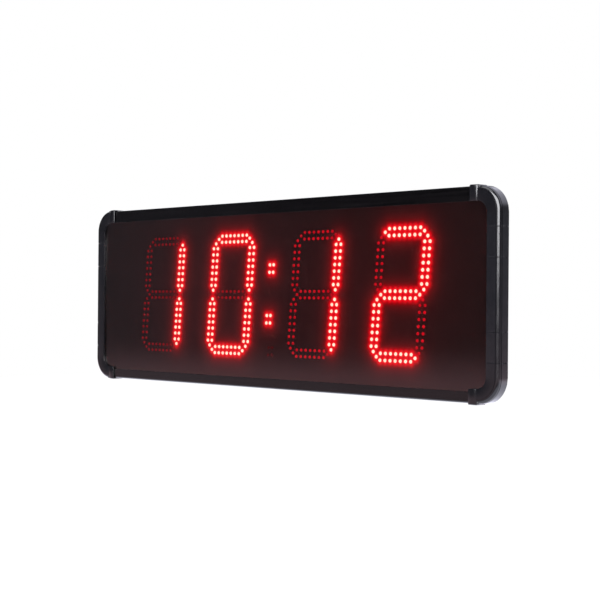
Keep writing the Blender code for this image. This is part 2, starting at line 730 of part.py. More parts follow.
def make_rear_housing(surface, parent):
    """A folded tray with a flange round its open front, and its cut-outs."""
    width, height, flange, wall = (
        HOUSING_HALF_WIDTH,
        HOUSING_HALF_HEIGHT,
        HOUSING_FLANGE,
        HOUSING_WALL,
    )
    levels = [
        (-wall, HOUSING_INNER_Y),
        (-wall, HOUSING_FRONT_Y),
        (flange, HOUSING_FRONT_Y),
        (flange, HOUSING_FRONT_Y + wall),
        (0.0, HOUSING_FRONT_Y + wall),
        (0.0, HOUSING_BACK_Y),
    ]
    rings = []
    for grow, y in levels:
        outline = rounded_rectangle(width + grow, height + grow, HOUSING_RADIUS + grow, 3)
        rings.append([(a, y, b) for a, b in outline])
    bm = bmesh.new()
    loft(bm, rings)
    housing = new_object("rear_housing", bm, surface, (0, HOUSING_BACK_Y, 0), parent)
    cuts = bmesh.new()
    slot_top = BRACKET_HALF_HEIGHT + GAP
    for side in (-1, 1):
        low = (side * HOOK_X - HOOK_SLOT_WIDTH / 2, slot_top - HOOK_SLOT_HEIGHT)
        high = (side * HOOK_X + HOOK_SLOT_WIDTH / 2, slot_top)
        prism(cuts, rectangle(low, high), HOUSING_INNER_Y - 1, HOUSING_BACK_Y + 1, "Y")
    for place in housing_screw_places():
        prism(cuts, circle(place, SCREW_HOLE_RADIUS, 8), HOUSING_FRONT_Y - 1, HOUSING_FRONT_Y + 3, "Y")
    bottom = (-height - 1, -height + wall + 1)
    for x, shell in ((INLET_X, INLET_SHELL), (SWITCH_X, SWITCH_SHELL)):
        prism(cuts, centred(x, SOCKET_Y, shell[0] + GAP, shell[1] + GAP), *bottom, "Z")
    prism(cuts, circle((SOUNDER_X, SOCKET_Y), SOUND_HOLE_RADIUS, 8), *bottom, "Z")
    for step in range(SOUND_HOLE_COUNT):
        turn = 2 * math.pi * step / SOUND_HOLE_COUNT
        x = SOUNDER_X + SOUND_HOLE_CIRCLE * math.cos(turn)
        y = SOCKET_Y + SOUND_HOLE_CIRCLE * math.sin(turn)
        prism(cuts, circle((x, y), SOUND_HOLE_RADIUS, 8), *bottom, "Z")
    for step in range(VENT_COUNT):
        place = (VENT_START_X + VENT_PITCH * step, SOCKET_Y)
        vent = slot(place, VENT_LENGTH, VENT_WIDTH, False, 2)
        prism(cuts, vent, height - wall - 1, height + 1, "Z")
    boolean(housing, cuts, "DIFFERENCE")


def make_wall_bracket(surface):
    """A plate with four slotted screw holes and two hooks bent up from its top edge."""
    plate = BRACKET_THICKNESS
    bm = bmesh.new()
    outline = rounded_rectangle(BRACKET_HALF_WIDTH, BRACKET_HALF_HEIGHT, 8.0, 3)
    prism(bm, outline, -plate, 0.0, "Y")
    bracket = new_object("wall_bracket", bm, surface, (0, 0, 0), None)
    hooks = bmesh.new()
    top = BRACKET_HALF_HEIGHT
    inner = HOUSING_INNER_Y - BEND_GAP
    outline = [
        (-plate + EMBED * 2, top - plate),
        (inner - plate, top - plate),
        (inner - plate, top + HOOK_RISE),
        (inner, top + HOOK_RISE),
        (inner, top),
        (-plate + EMBED * 2, top),
    ]
    for side in (-1, 1):
        middle = side * HOOK_X
        prism(hooks, outline, middle - HOOK_WIDTH / 2, middle + HOOK_WIDTH / 2, "X")
    boolean(bracket, hooks, "UNION")
    holes = bmesh.new()
    for sx in (-1, 1):
        for sz in (-1, 1):
            hole = slot((sx * WALL_SLOT_X, sz * WALL_SLOT_Z), WALL_SLOT_LENGTH, WALL_SLOT_WIDTH, True)
            prism(holes, hole, -plate - 1, 1.0, "Y")
    boolean(bracket, holes, "DIFFERENCE")


# Power inlet and switch


def make_power_inlet(surface, parent):
    """A three-pin appliance inlet snapped into the housing's bottom wall."""
    face = SOCKET_FACE_Z
    x, y = INLET_X, SOCKET_Y
    half_x, half_y, thickness = INLET_FLANGE
    bm = bmesh.new()
    prism(bm, centred(x, y, half_x, half_y), face - thickness, face, "Z")
    inlet = new_object("power_inlet", bm, surface, (x, y, face), parent)
    half_x, half_y, shell_top = INLET_SHELL
    shell = bmesh.new()
    prism(shell, centred(x, y, half_x, half_y), face - EMBED, face + shell_top, "Z")
    boolean(inlet, shell, "UNION")
    half_x, half_y, floor = INLET_MOUTH
    shoulder_x, shoulder_y = half_x - INLET_MOUTH_CHAMFER, half_y - INLET_MOUTH_CHAMFER
    mouth = [
        (-half_x, -half_y),
        (half_x, -half_y),
        (half_x, shoulder_y),
        (shoulder_x, half_y),
        (-shoulder_x, half_y),
        (-half_x, shoulder_y),
    ]
    cavity = bmesh.new()
    outline = [(x + a, y + b) for a, b in mouth]
    prism(cavity, outline, face - thickness - 1, face + floor, "Z")
    boolean(inlet, cavity, "DIFFERENCE")
    pins = bmesh.new()
    half_x, half_y = INLET_PIN_HALF_SIZE
    for dx, dy in INLET_PINS:
        pin = centred(x + dx, y + dy, half_x, half_y)
        prism(pins, pin, face + INLET_PIN_TIP, face + floor + EMBED, "Z")
        tab = centred(x + dx, y + dy, TAB_HALF_THICKNESS, half_y)
        prism(pins, tab, face + shell_top - EMBED, face + INLET_TAB_TOP, "Z")
    boolean(inlet, pins, "UNION")


def make_power_switch(body_surface, rocker_surface, parent):
    """The switch's body, and its rocker on a trunnion along Y, tilted to its on position."""
    face = SOCKET_FACE_Z
    x, y = SWITCH_X, SOCKET_Y
    half_x, half_y, thickness = SWITCH_FLANGE
    bm = bmesh.new()
    prism(bm, centred(x, y, half_x, half_y), face - thickness, face, "Z")
    switch = new_object("switch_body", bm, body_surface, (x, y, face), parent)
    half_x, half_y, shell_top = SWITCH_SHELL
    shell = bmesh.new()
    prism(shell, centred(x, y, half_x, half_y), face - EMBED, face + shell_top, "Z")
    for dx in SWITCH_TABS:
        tab = centred(x + dx, y, TAB_HALF_THICKNESS, SWITCH_TAB_HALF_DEPTH)
        prism(shell, tab, face + shell_top - EMBED, face + SWITCH_TAB_TOP, "Z")
    boolean(switch, shell, "UNION")
    half_x, half_y, floor = SWITCH_CAVITY
    cavity = bmesh.new()
    prism(cavity, centred(x, y, half_x, half_y), face - thickness - 1, face + floor, "Z")
    boolean(switch, cavity, "DIFFERENCE")
    bore = bmesh.new()
    ends = (y - TRUNNION_HOLE_HALF_LENGTH, y + TRUNNION_HOLE_HALF_LENGTH)
    turned(bore, (x, ROCKER_PIVOT_Z), [(TRUNNION_HOLE_RADIUS, end) for end in ends], "Y")
    boolean(switch, bore, "DIFFERENCE")

    back_half_length, back = ROCKER_BACK
    paddle = [
        (0.0, ROCKER_DIP),
        (ROCKER_HALF_LENGTH, ROCKER_END_LOW),
        (ROCKER_HALF_LENGTH, ROCKER_END_HIGH),
        (back_half_length, back),
        (-back_half_length, back),
        (-ROCKER_HALF_LENGTH, ROCKER_END_HIGH),
        (-ROCKER_HALF_LENGTH, ROCKER_END_LOW),
    ]
    bm = bmesh.new()
    prism(bm, paddle, -ROCKER_HALF_WIDTH, ROCKER_HALF_WIDTH, "Y")
    rocker = new_object("power_rocker", bm, rocker_surface, (0, 0, 0), parent)
    trunnion = bmesh.new()
    ends = [(TRUNNION_RADIUS, -TRUNNION_HALF_LENGTH), (TRUNNION_RADIUS, TRUNNION_HALF_LENGTH)]
    turned(trunnion, (0.0, 0.0), ends, "Y")
    boolean(rocker, trunnion, "UNION")
    rocker.location = Vector((x, y, ROCKER_PIVOT_Z)) * MM
    rocker.rotation_euler = (0.0, -ROCKER_TILT, 0.0)


# Push buttons


def make_button(name, x, surface, parent):
    """A turned plunger through the rail's web, held in by its collar."""
    web = -RAIL_HALF_HEIGHT + CAP_WALL
    bottom = -RAIL_HALF_HEIGHT + BUTTON_RECESS
    y = depth_y(BUTTON_DEPTH)
    seat = web + GAP
    profile = [
        (BUTTON_RADIUS - BUTTON_EDGE, bottom),
        (BUTTON_RADIUS, bottom + BUTTON_EDGE),
        (BUTTON_RADIUS, seat),
        (COLLAR_RADIUS, seat),
        (COLLAR_RADIUS, seat + COLLAR_HEIGHT),
        (STEM_RADIUS, seat + COLLAR_HEIGHT),
        (STEM_RADIUS, seat + COLLAR_HEIGHT + STEM_LENGTH),
    ]
    bm = bmesh.new()
    turned(bm, (x, y), profile, "Z")
    new_object(name, bm, surface, (x, y, seat), parent)


def cut_button_holes(rail):
    web = -RAIL_HALF_HEIGHT
    holes = bmesh.new()
    for x in BUTTON_X:
        hole = circle((x, depth_y(BUTTON_DEPTH)), BUTTON_HOLE_RADIUS, 16)
        prism(holes, hole, web - 1, web + CAP_WALL + 1, "Z")
    boolean(rail, holes, "DIFFERENCE")


def make_button_guide(surface, parent):
    """An H-shaped moulding: posts on the rail's web, and a bar that guides the stems."""
    foot = -RAIL_HALF_HEIGHT + CAP_WALL + GAP
    bar = foot + COLLAR_HEIGHT + BUTTON_TRAVEL + GUIDE_CLEARANCE
    top = foot + COLLAR_HEIGHT + STEM_LENGTH + BUTTON_TRAVEL + TACT_HEIGHT
    left = BUTTON_X[0] - GUIDE_END_CLEARANCE
    right = BUTTON_X[-1] + GUIDE_END_CLEARANCE
    outline = [
        (left, foot),
        (left + GUIDE_POST, foot),
        (left + GUIDE_POST, bar),
        (right - GUIDE_POST, bar),
        (right - GUIDE_POST, foot),
        (right, foot),
        (right, top),
        (right - GUIDE_POST, top),
        (right - GUIDE_POST, bar + GUIDE_WALL),
        (left + GUIDE_POST, bar + GUIDE_WALL),
        (left + GUIDE_POST, top),
        (left, top),
    ]
    y = depth_y(BUTTON_DEPTH)
    bm = bmesh.new()
    prism(bm, outline, y - GUIDE_HALF_DEPTH, y + GUIDE_HALF_DEPTH, "Y")
    guide = new_object("button_guide", bm, surface, (BUTTON_X[1], y, foot), parent)
    holes = bmesh.new()
    for x in BUTTON_X:
        prism(holes, circle((x, y), STEM_HOLE_RADIUS, 16), bar - 1, bar + GUIDE_WALL + 1, "Z")
    boolean(guide, holes, "DIFFERENCE")
    return top + GAP


def make_button_board(bottom, surface, parent):
    """A strip of circuit board over the guide, with a tactile switch above each stem."""
    y = depth_y(BUTTON_DEPTH)
    left = BUTTON_X[0] - GUIDE_END_CLEARANCE
    right = BUTTON_X[-1] + GUIDE_END_CLEARANCE
    bm = bmesh.new()
    box(bm, (left, right), (y - GUIDE_HALF_DEPTH, y + GUIDE_HALF_DEPTH), (bottom, bottom + BOARD_THICKNESS))
    board = new_object("button_board", bm, surface, (BUTTON_X[1], y, bottom), parent)
    switches = bmesh.new()
    for x in BUTTON_X:
        z = (bottom - TACT_HEIGHT, bottom + EMBED)
        box(switches, (x - TACT_SIZE, x + TACT_SIZE), (y - TACT_SIZE, y + TACT_SIZE), z)
    boolean(board, switches, "UNION")


# Electronics


def make_power_supply(case_surface, board_surface, parent):
    """A sheet-metal case, open to the rear panel and at its terminal end, round a circuit board."""
    left, right = SUPPLY_X
    front = PANEL_BACK_Y + GAP
    back = front + SUPPLY_DEPTH
    half, wall = SUPPLY_HALF_HEIGHT, SUPPLY_WALL
    start = left + SUPPLY_LEDGE
    bm = bmesh.new()
    box(bm, (start, right), (front, back), (-half, half))
    case = new_object("supply_case", bm, case_surface, (right, front, 0), parent)
    inside = bmesh.new()
    box(inside, (start - 1, right - wall), (front - 1, back - wall), (wall - half, half - wall))
    boolean(case, inside, "DIFFERENCE")

    base = front + SUPPLY_BOARD_RISE
    bm = bmesh.new()
    inner = half - wall - GAP
    box(bm, (left, right - wall - GAP), (base, base + BOARD_THICKNESS), (-inner, inner))
    board = new_object("supply_board", bm, board_surface, (left, base, 0), parent)
    parts = bmesh.new()
    top = base + BOARD_THICKNESS
    for x, z, height in (SUPPLY_TERMINALS, SUPPLY_TRANSFORMER, SUPPLY_HEAT_SINK):
        box(parts, x, (top - EMBED, top + height), z)
    ends = (top - EMBED, top + SUPPLY_CAPACITOR_HEIGHT)
    for x in SUPPLY_CAPACITORS_X:
        profile = [(SUPPLY_CAPACITOR_RADIUS, end) for end in ends]
        turned(parts, (x, SUPPLY_CAPACITOR_Z), profile, "Y", 12)
    boolean(board, parts, "UNION")


def make_control_carrier(surface, parent):
    """Two rails joined by end bars, which hold the control board off the rear panel."""
    front = PANEL_BACK_Y + GAP
    back = CONTROL_FRONT_Y - GAP
    bm = bmesh.new()
    prism(bm, rectangle((CONTROL_X[0], CONTROL_Z[0]), (CONTROL_X[1], CONTROL_Z[1])), front, back, "Y")
    carrier = new_object("control_carrier", bm, surface, (0, front, 0), parent)
    window = bmesh.new()
    low = (CONTROL_X[0] + CARRIER_BORDER, CONTROL_Z[0] + CARRIER_BORDER)
    high = (CONTROL_X[1] - CARRIER_BORDER, CONTROL_Z[1] - CARRIER_BORDER)
    prism(window, rectangle(low, high), front - 1, back + 1, "Y")
    boolean(carrier, window, "DIFFERENCE")


def make_control_board(surface, parent):
    """The main board with its processor, row drivers, capacitors and ribbon header."""
    front = CONTROL_FRONT_Y
    back = front + BOARD_THICKNESS
    bm = bmesh.new()
    prism(bm, rectangle((CONTROL_X[0], CONTROL_Z[0]), (CONTROL_X[1], CONTROL_Z[1])), front, back, "Y")
    board = new_object("control_board", bm, surface, (0, front, 0), parent)
    chips = bmesh.new()
    base = back - EMBED
    drivers = [((x, x + DRIVER_LENGTH), DRIVER_Z, DRIVER_HEIGHT) for x in DRIVER_X]
    for x, z, height in (PROCESSOR, RIBBON_HEADER, *drivers):
        box(chips, x, (base, back + height), z)
    for x in CONTROL_CAPACITORS_X:
        ends = (base, back + CONTROL_CAPACITOR_HEIGHT)
        profile = [(CONTROL_CAPACITOR_RADIUS, end) for end in ends]
        turned(chips, (x, CONTROL_CAPACITOR_Z), profile, "Y", 10)
    boolean(board, chips, "UNION")


def make_terminal_block(surface, parent):
    back = CONTROL_FRONT_Y + BOARD_THICKNESS + GAP
    low, high = TERMINAL_Z
    top = back + TERMINAL_HEIGHT
    outline = [
        (back, low),
        (back, high),
        (top - TERMINAL_CHAMFER[0], high),
        (top, high - TERMINAL_CHAMFER[1]),
        (top, low),
    ]
    bm = bmesh.new()
    prism(bm, outline, *TERMINAL_X, "X")
    new_object("terminal_block", bm, surface, (TERMINAL_X[0], back, low), parent)


def make_backup_battery(surface, parent):
    back = CONTROL_FRONT_Y + BOARD_THICKNESS + GAP
    x, z = BATTERY_PLACE
    bm = bmesh.new()
    ends = (back, back + BATTERY_HEIGHT)
    turned(bm, BATTERY_PLACE, [(BATTERY_RADIUS, end) for end in ends], "Y", 24)
    new_object("backup_battery", bm, surface, (x, back, z), parent)


def make_sounder(surface, parent):
    """The round signal sounder, which faces the holes in the housing's bottom wall."""
    bottom = -HOUSING_HALF_HEIGHT + HOUSING_WALL + GAP
    centre = (SOUNDER_X, SOCKET_Y)
    can = SOUNDER_RADIUS - SOUNDER_RIM_WIDTH
    profile = [
        (SOUNDER_RADIUS, bottom),
        (SOUNDER_RADIUS, bottom + SOUNDER_RIM_HEIGHT),
        (can, bottom + SOUNDER_RIM_HEIGHT),
        (can, bottom + SOUNDER_HEIGHT),
    ]
    bm = bmesh.new()
    turned(bm, centre, profile, "Z", 20)
    new_object("sounder", bm, surface, (*centre, bottom), parent)


def make_display_ribbon(surface, parent):
    """The flat cable from the control board, through the rear panel, to the colon board."""
    start = depth_y(BOARD_FRONT) + BOARD_THICKNESS + GAP
    end = CONTROL_FRONT_Y - GAP
    route = []
    for step in range(RIBBON_STEPS + 1):
        share = step / RIBBON_STEPS
        z = RIBBON_Z + RIBBON_BOW * math.sin(math.pi * share)
        route.append((start + (end - start) * share, z))
    bm = bmesh.new()
    strip = polyline_strip(route, RIBBON_THICKNESS)
    prism(bm, strip, -RIBBON_WIDTH / 2, RIBBON_WIDTH / 2, "X")
    new_object("display_ribbon", bm, surface, (0, start, RIBBON_Z), parent)


def make_lead(name, points, surface, parent):
    """A round insulated lead along a smooth route inside the housing."""
    route = [Vector(point) for point in points]
    padded = [route[0] * 2 - route[1], *route, route[-1] * 2 - route[-2]]
    smooth = []
    for a, b, c, d in zip(padded, padded[1:], padded[2:], padded[3:]):
        for step in range(LEAD_STEPS):
            t = step / LEAD_STEPS
            bend = (2 * a - 5 * b + 4 * c - d) * t * t + (3 * b - a - 3 * c + d) * t**3
            smooth.append((2 * b + (c - a) * t + bend) / 2)
    smooth.append(route[-1])
    curve = bpy.data.curves.new(name, "CURVE")
    curve.dimensions = "3D"
    curve.bevel_depth = LEAD_RADIUS * MM
    curve.bevel_resolution = 2
    curve.use_fill_caps = True
    spline = curve.splines.new("POLY")
    spline.points.add(len(smooth) - 1)
    for point, place in zip(spline.points, smooth):
        point.co = (*((place - route[0]) * MM), 1.0)
    curve.materials.append(surface)
    lead = bpy.data.objects.new(name, curve)
    lead.location = route[0] * MM
    lead.parent = parent
    bpy.context.scene.collection.objects.link(lead)


MAINS_ROUTE = [
    (-200.0, -21.5, -64.0),
    (-203.0, -20.5, -58.0),
    (-218.0, -17.0, -57.0),
    (-244.0, -16.0, -57.5),
    (-255.0, -16.0, -50.0),
    (-255.0, -17.0, -40.0),
    (-255.0, -23.5, -37.0),
]
POWER_ROUTE = [
    (-255.0, -23.5, 20.0),
    (-255.0, -17.0, 23.0),
    (-255.0, -15.0, 40.0),
    (-244.0, -15.0, 57.0),
    (-200.0, -16.0, 61.0),
    (-140.0, -18.5, 61.0),
    (-80.0, -23.5, 60.0),
    (-50.0, -26.5, 57.0),
    (-47.0, -26.5, 49.0),
]


def main():
    for old in list(bpy.data.objects):
        bpy.data.objects.remove(old)

    cap_plastic = material("cap_plastic", (0.020, 0.020, 0.023), 0.45)
    rail_black = material("rail_black", (0.014, 0.014, 0.016), 0.35, 0.6)
    filter_red = material("filter_red", (0.045, 0.008, 0.010), 0.12)
    gasket_foam = material("gasket_foam", (0.010, 0.010, 0.010), 0.9)
    sheet_black = material("sheet_black", (0.030, 0.030, 0.032), 0.5)
    zinc_steel = material("zinc_steel", (0.55, 0.56, 0.58), 0.35, 1.0)
    board_black = material("board_black", (0.012, 0.014, 0.013), 0.5)
    board_green = material("board_green", (0.010, 0.090, 0.035), 0.4)
    black_plastic = material("black_plastic", (0.015, 0.015, 0.016), 0.5)
    aluminium = material("aluminium", (0.60, 0.61, 0.62), 0.4, 1.0)
    screw_black = material("screw_black", (0.030, 0.030, 0.032), 0.35, 0.8)
    button_red = material("button_red", (0.45, 0.02, 0.02), 0.4)
    cable_grey = material("cable_grey", (0.30, 0.30, 0.31), 0.55)
    battery_steel = material("battery_steel", (0.65, 0.65, 0.65), 0.25, 1.0)

    display = bpy.data.objects.new("display", None)
    bpy.context.scene.collection.objects.link(display)

    make_rail("top_rail", 1, CAP_INNER_Z, rail_black, display)
    cut_button_holes(make_rail("bottom_rail", -1, BOTTOM_OPENING_Z, rail_black, display))
    for hand, side in (("left", -1), ("right", 1)):
        make_corner(f"{hand}_upper_corner", side, 1, cap_plastic, display)
        make_corner(f"{hand}_lower_corner", side, -1, cap_plastic, display)
        for name, low, high in (
            ("upper_spacer", MIDDLE_SEAM_Z, CORNER_SEAM_Z),
            ("middle_spacer", -MIDDLE_SEAM_Z, MIDDLE_SEAM_Z),
            ("lower_spacer", -CORNER_SEAM_Z, -MIDDLE_SEAM_Z),
        ):
            make_straight_module(f"{hand}_{name}", side, low, high, cap_plastic, display)
    digits = (-OUTER_DIGIT_X, -INNER_DIGIT_X, INNER_DIGIT_X, OUTER_DIGIT_X)
    make_filter(filter_red, display)
    make_gasket(gasket_foam, display)
    make_face_plate(digits, board_black, display)
    make_rear_panel(sheet_black, display)
    for place, (x, z) in frame_screw_places().items():
        make_screw(f"{place}_screw", x, z, PANEL_BACK_Y, screw_black, display)

    for number, x in enumerate(digits, 1):
        make_digit_board(number, x, board_black, display)
    make_colon_board(board_black, display)
    make_remote_receiver(black_plastic, display)
    make_board_rail("upper_board_rail", BOARD_RAIL_Z, aluminium, display)
    make_board_rail("lower_board_rail", -BOARD_RAIL_Z, aluminium, display)

    make_rear_housing(sheet_black, display)
    for number, (x, z) in enumerate(housing_screw_places(), 1):
        seat = HOUSING_FRONT_Y + HOUSING_WALL
        make_screw(f"housing_screw_{number}", x, z, seat, screw_black, display)
    make_wall_bracket(zinc_steel)
    make_power_inlet(black_plastic, display)
    make_power_switch(black_plastic, black_plastic, display)

    for name, x in zip(("mode_button", "adjust_button", "start_button"), BUTTON_X):
        make_button(name, x, button_red if name == "start_button" else black_plastic, display)
    board_seat = make_button_guide(black_plastic, display)
    make_button_board(board_seat, board_green, display)

    make_power_supply(aluminium, board_green, display)
    make_control_carrier(black_plastic, display)
    make_control_board(board_green, display)
    make_terminal_block(black_plastic, display)
    make_backup_battery(battery_steel, display)
    make_sounder(black_plastic, display)
    make_display_ribbon(cable_grey, display)
    make_lead("mains_lead", MAINS_ROUTE, cable_grey, display)
    make_lead("power_lead", POWER_ROUTE, cable_grey, display)


main()
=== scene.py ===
"""Looks of the gym round timer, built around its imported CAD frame.

Units are metres in the row frame: X to the right as seen from the front, Y from the viewer
to the wall, Z up. A depth is counted backwards from the frame's foremost plane.
"""

import math

import bmesh
import bpy
import numpy as np
from mathutils import Matrix, Vector


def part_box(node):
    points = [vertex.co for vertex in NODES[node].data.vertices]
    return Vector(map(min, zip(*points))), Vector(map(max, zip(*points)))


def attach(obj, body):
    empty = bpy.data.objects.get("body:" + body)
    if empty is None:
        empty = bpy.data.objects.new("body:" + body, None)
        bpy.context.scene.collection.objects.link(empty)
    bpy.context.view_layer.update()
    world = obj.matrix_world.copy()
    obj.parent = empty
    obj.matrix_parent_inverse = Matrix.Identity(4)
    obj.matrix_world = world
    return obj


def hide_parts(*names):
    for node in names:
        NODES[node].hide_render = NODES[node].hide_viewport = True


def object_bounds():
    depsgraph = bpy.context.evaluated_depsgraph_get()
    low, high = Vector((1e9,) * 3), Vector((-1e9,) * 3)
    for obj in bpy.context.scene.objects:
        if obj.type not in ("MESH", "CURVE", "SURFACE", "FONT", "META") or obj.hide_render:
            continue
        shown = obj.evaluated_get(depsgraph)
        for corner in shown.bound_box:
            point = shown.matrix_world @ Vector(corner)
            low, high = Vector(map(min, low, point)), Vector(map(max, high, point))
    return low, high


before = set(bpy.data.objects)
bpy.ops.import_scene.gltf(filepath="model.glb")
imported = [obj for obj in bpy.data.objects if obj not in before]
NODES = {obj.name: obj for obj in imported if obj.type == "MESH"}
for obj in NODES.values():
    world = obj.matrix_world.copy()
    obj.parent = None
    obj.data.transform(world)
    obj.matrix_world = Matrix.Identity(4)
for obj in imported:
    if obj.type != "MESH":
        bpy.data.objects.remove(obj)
CAD_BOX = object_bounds()
MM = 0.001
FRONT_Y = CAD_BOX[0].y

# Camera: its place and range of view in metres, its lens and sensor in millimetres
CAMERA_PLACE = (1.6888, FRONT_Y - 1.5212, -0.0150)
CAMERA_FORWARD = (-0.72757, 0.68603, 0.00295)
CAMERA_UP = (-0.00326, -0.00777, 0.99996)
CAMERA_LENS = 85.78
CAMERA_SENSOR = 36.0
CAMERA_RANGE = (0.05, 60.0)

# LEDs: the dome starts this many degrees from its tip, and the flange is a share of the radius
LED_RADIUS = 2.5 * MM
LIT_RADIUS = 2.8 * MM
LED_SIDES = 14
LED_DOME_RINGS = 5
LED_DOME_START = 8
LED_FLANGE = 1.16
LED_FLANGE_HEIGHT = 1.0 * MM
LED_STANDOFF = 0.02 * MM

# LED layout, in steps of the square pitch, with v counted downwards
PITCH = 10.16 * MM
SLANT = 0.09
SEGMENT_ENDS = 3.78
COLUMN_U = 4.46
ROW_V = 9.0
COLUMN_V = 4.5
HALF_PAIR = 0.5
LIT_SEGMENTS = ("BC", "ABCDEF", "BC", "ABGED")
COLON_SPACING = (0.425, 0.585)
COLON_CENTRES = ((-0.30, -4.08), (-0.24, 3.88))
POINT_CENTRE = (0.70, 8.90)

# Brightness of the LEDs, and how far it varies from one to the next. The unlit LEDs and the point
# get a painted glow, stronger in the digits further right
LEVEL_SEED = 11
UNLIT_PAINTED_GLOW = (0.38, 0.60, 1.00, 1.15)
UNLIT_SPREAD = (0.85, 1.15)
LIT_SPREAD = (0.92, 1.08)
COLON_SPREAD = (0.95, 1.05)
POINT_PAINTED_GLOW = (0.08, 0.12)

# Painted glow of the mask round each lit LED and its faint stray light, with distances in steps
# of the pitch, and the mask's cells to a step
STRAY_LIGHT = 0.015
NEAR_GLOW = 1.25
NEAR_EDGE = 0.66
NEAR_SOFTNESS = 0.13
HALO_GLOW = 0.93
HALO_REACH = 0.72
FAR_GLOW = 0.0013
FAR_REACH = 6.0
MASK_CELLS = 6

# Frame sections, in millimetres
HALF_WIDTH = 467.0
HALF_HEIGHT = 150.5
RAIL_HALF_HEIGHT = 150.1
COLLAR_HALF_HEIGHT = 152.0
OPENING_HALF_WIDTH = 444.6
CAP_INNER_Z = 129.5
BOTTOM_OPENING_Z = 134.0
OUTER_RADIUS = 37.0
INNER_RADIUS = 17.5
FRAME_DEPTH = 21.2
CAP_FRONT = 1.0
CAP_FILLET = 5.4
CAP_WALL = 2.5
CAP_LIP_RADIUS = 0.12
CAP_CHAMFER = 0.5
FLANGE_BACK = 4.2
REAR_FLANGE = 14.0
CORNER_SEAM_Z = 93.0
MIDDLE_SEAM_Z = 51.0
TONGUE_THICKNESS = 1.4
TONGUE_CLEARANCE = 0.15
TONGUE_ROOT = 4.0
TONGUE_REACH = 3.0
COLLAR_START_X = 414.0
COLLAR_END_X = 428.0
COLLAR_SLOPE = 7.0
COLLAR_SINK = 1.05
COLLAR_BEVEL = 0.8
COLLAR_BEVEL_SHARES = ((0.0, 1.0), (0.4, 0.3), (1.0, 0.0))
COLLAR_LAP = 1.0
COLLAR_WALL = 1.6
COLLAR_FRONT_WALL = 2.7
COLLAR_OUTER_RADIUS = 2.2
COLLAR_LIP_RADIUS = 0.15
PIP_RADIUS = 2.3
PIP_OUTWARDS = 1.6
PIP_DEPTH = 2.6
PIP_INSET = 1.9
END_BEVEL = 0.45
GROOVE_WIDTH = 1.2
GROOVE_DEPTH = 0.7
GROOVE_FLANK = 0.2
GROOVE_MARGIN = 0.1
RAIL_FRONT = 3.0
RAIL_BEAD = 3.5
RAIL_GROOVE_WIDTH = 0.7
RAIL_CHAMFER = 0.4
RAIL_LIP_CHAMFER = 0.04
GAP = 0.3

# Steps of the round stretches, and sides of the turned parts
FILLET_STEPS = 12
LIP_STEPS = 6
BEAD_STEPS = 10
CORNER_STEPS = 28
COLLAR_STEPS = 8
COLLAR_LIP_STEPS = 5
BUTTON_EDGE_STEPS = 5
HEAD_STEPS = 6
BOX_EDGE_STEPS = 3
PIP_RINGS = 8
PIP_SIDES = 16
HOLE_SIDES = 32
SCREW_SIDES = 28
BUTTON_SIDES = 40
LENS_SIDES = 24

# The pip's first ring, as a share of the half turn, and how far a box's corner is cut on each
# axis, as a share of its broken edge
PIP_POLE = 0.04
BOX_CORNER_SHARE = 0.7

# Angles in degrees: faces that meet at less are blended, and edges at more are broken
SMOOTH_BELOW = 35.0
SCREW_SMOOTH_BELOW = 40.0
LED_SMOOTH_BELOW = 60.0
BREAK_ABOVE = 40.0

# Buttons, in millimetres: their dish is rows of (share of the radius, height)
BUTTONS = ("mode_button", "adjust_button", "start_button")
BUTTON_RADIUS = 3.0
BUTTON_HOLE_RADIUS = 3.3
BUTTON_HOLE = (-2.0, 6.0)
BUTTON_DISH = ((0.2, 0.35), (0.55, 0.28), (0.72, 0.06))
BUTTON_EDGE = 0.7
BUTTON_FLANGE = 1.3
BUTTON_STEM_RADIUS = 1.8
BUTTON_RECESS = 0.3

# Screws, in millimetres, with the head's crown, side and flat and the shank's tip as shares. The
# recess's arm narrows over rows of (height from the top, share)
HEAD_RADIUS = 2.9
HEAD_HEIGHT = 2.0
HEAD_TOP = GAP + HEAD_HEIGHT
HEAD_CROWN = 0.55
HEAD_SIDE = 0.4
HEAD_FLAT = 0.25
SHANK_RADIUS = 1.5
SHANK_TIP = 0.5
SHANK_END = -6.0
SHANK_TAPER = -5.2
RECESS_HALF_LENGTH = 1.6
RECESS_HALF_WIDTH = 0.38
RECESS_ROWS = ((1.0, 1.15), (-1.3, 0.45))

# A screw's turn about its axis: the largest in radians, and how fast it changes along X and Z
SCREW_TURN = 0.7
SCREW_TURN_RATES = (37.0, 91.0)

# Inlet pins, in millimetres from the inlet's middle and its lowest face
PIN_PLACES = ((-7.0, -2.0), (0.0, 2.0), (7.0, -2.0))
PIN_SECTIONS = ((4.6, 0.5, 1.5), (5.4, 1.03, 2.03), (15.0, 1.03, 2.03))

# Boards and the receiver, in millimetres: its lens has rings at angles in degrees from its tip
BOARD_EDGE = 0.3
RECEIVER_EDGE = 0.6
RECEIVER_BODY_SETBACK = 1.0
RECEIVER_LENS_RADIUS = 2.4
RECEIVER_LENS_DEPTH = 3.0
RECEIVER_LENS_ANGLES = range(6, 91, 12)

# The timer hangs this far above the gym's floor, which reaches this far to each side
FLOOR_DROP = 2.4
FLOOR_REACH = 40.0

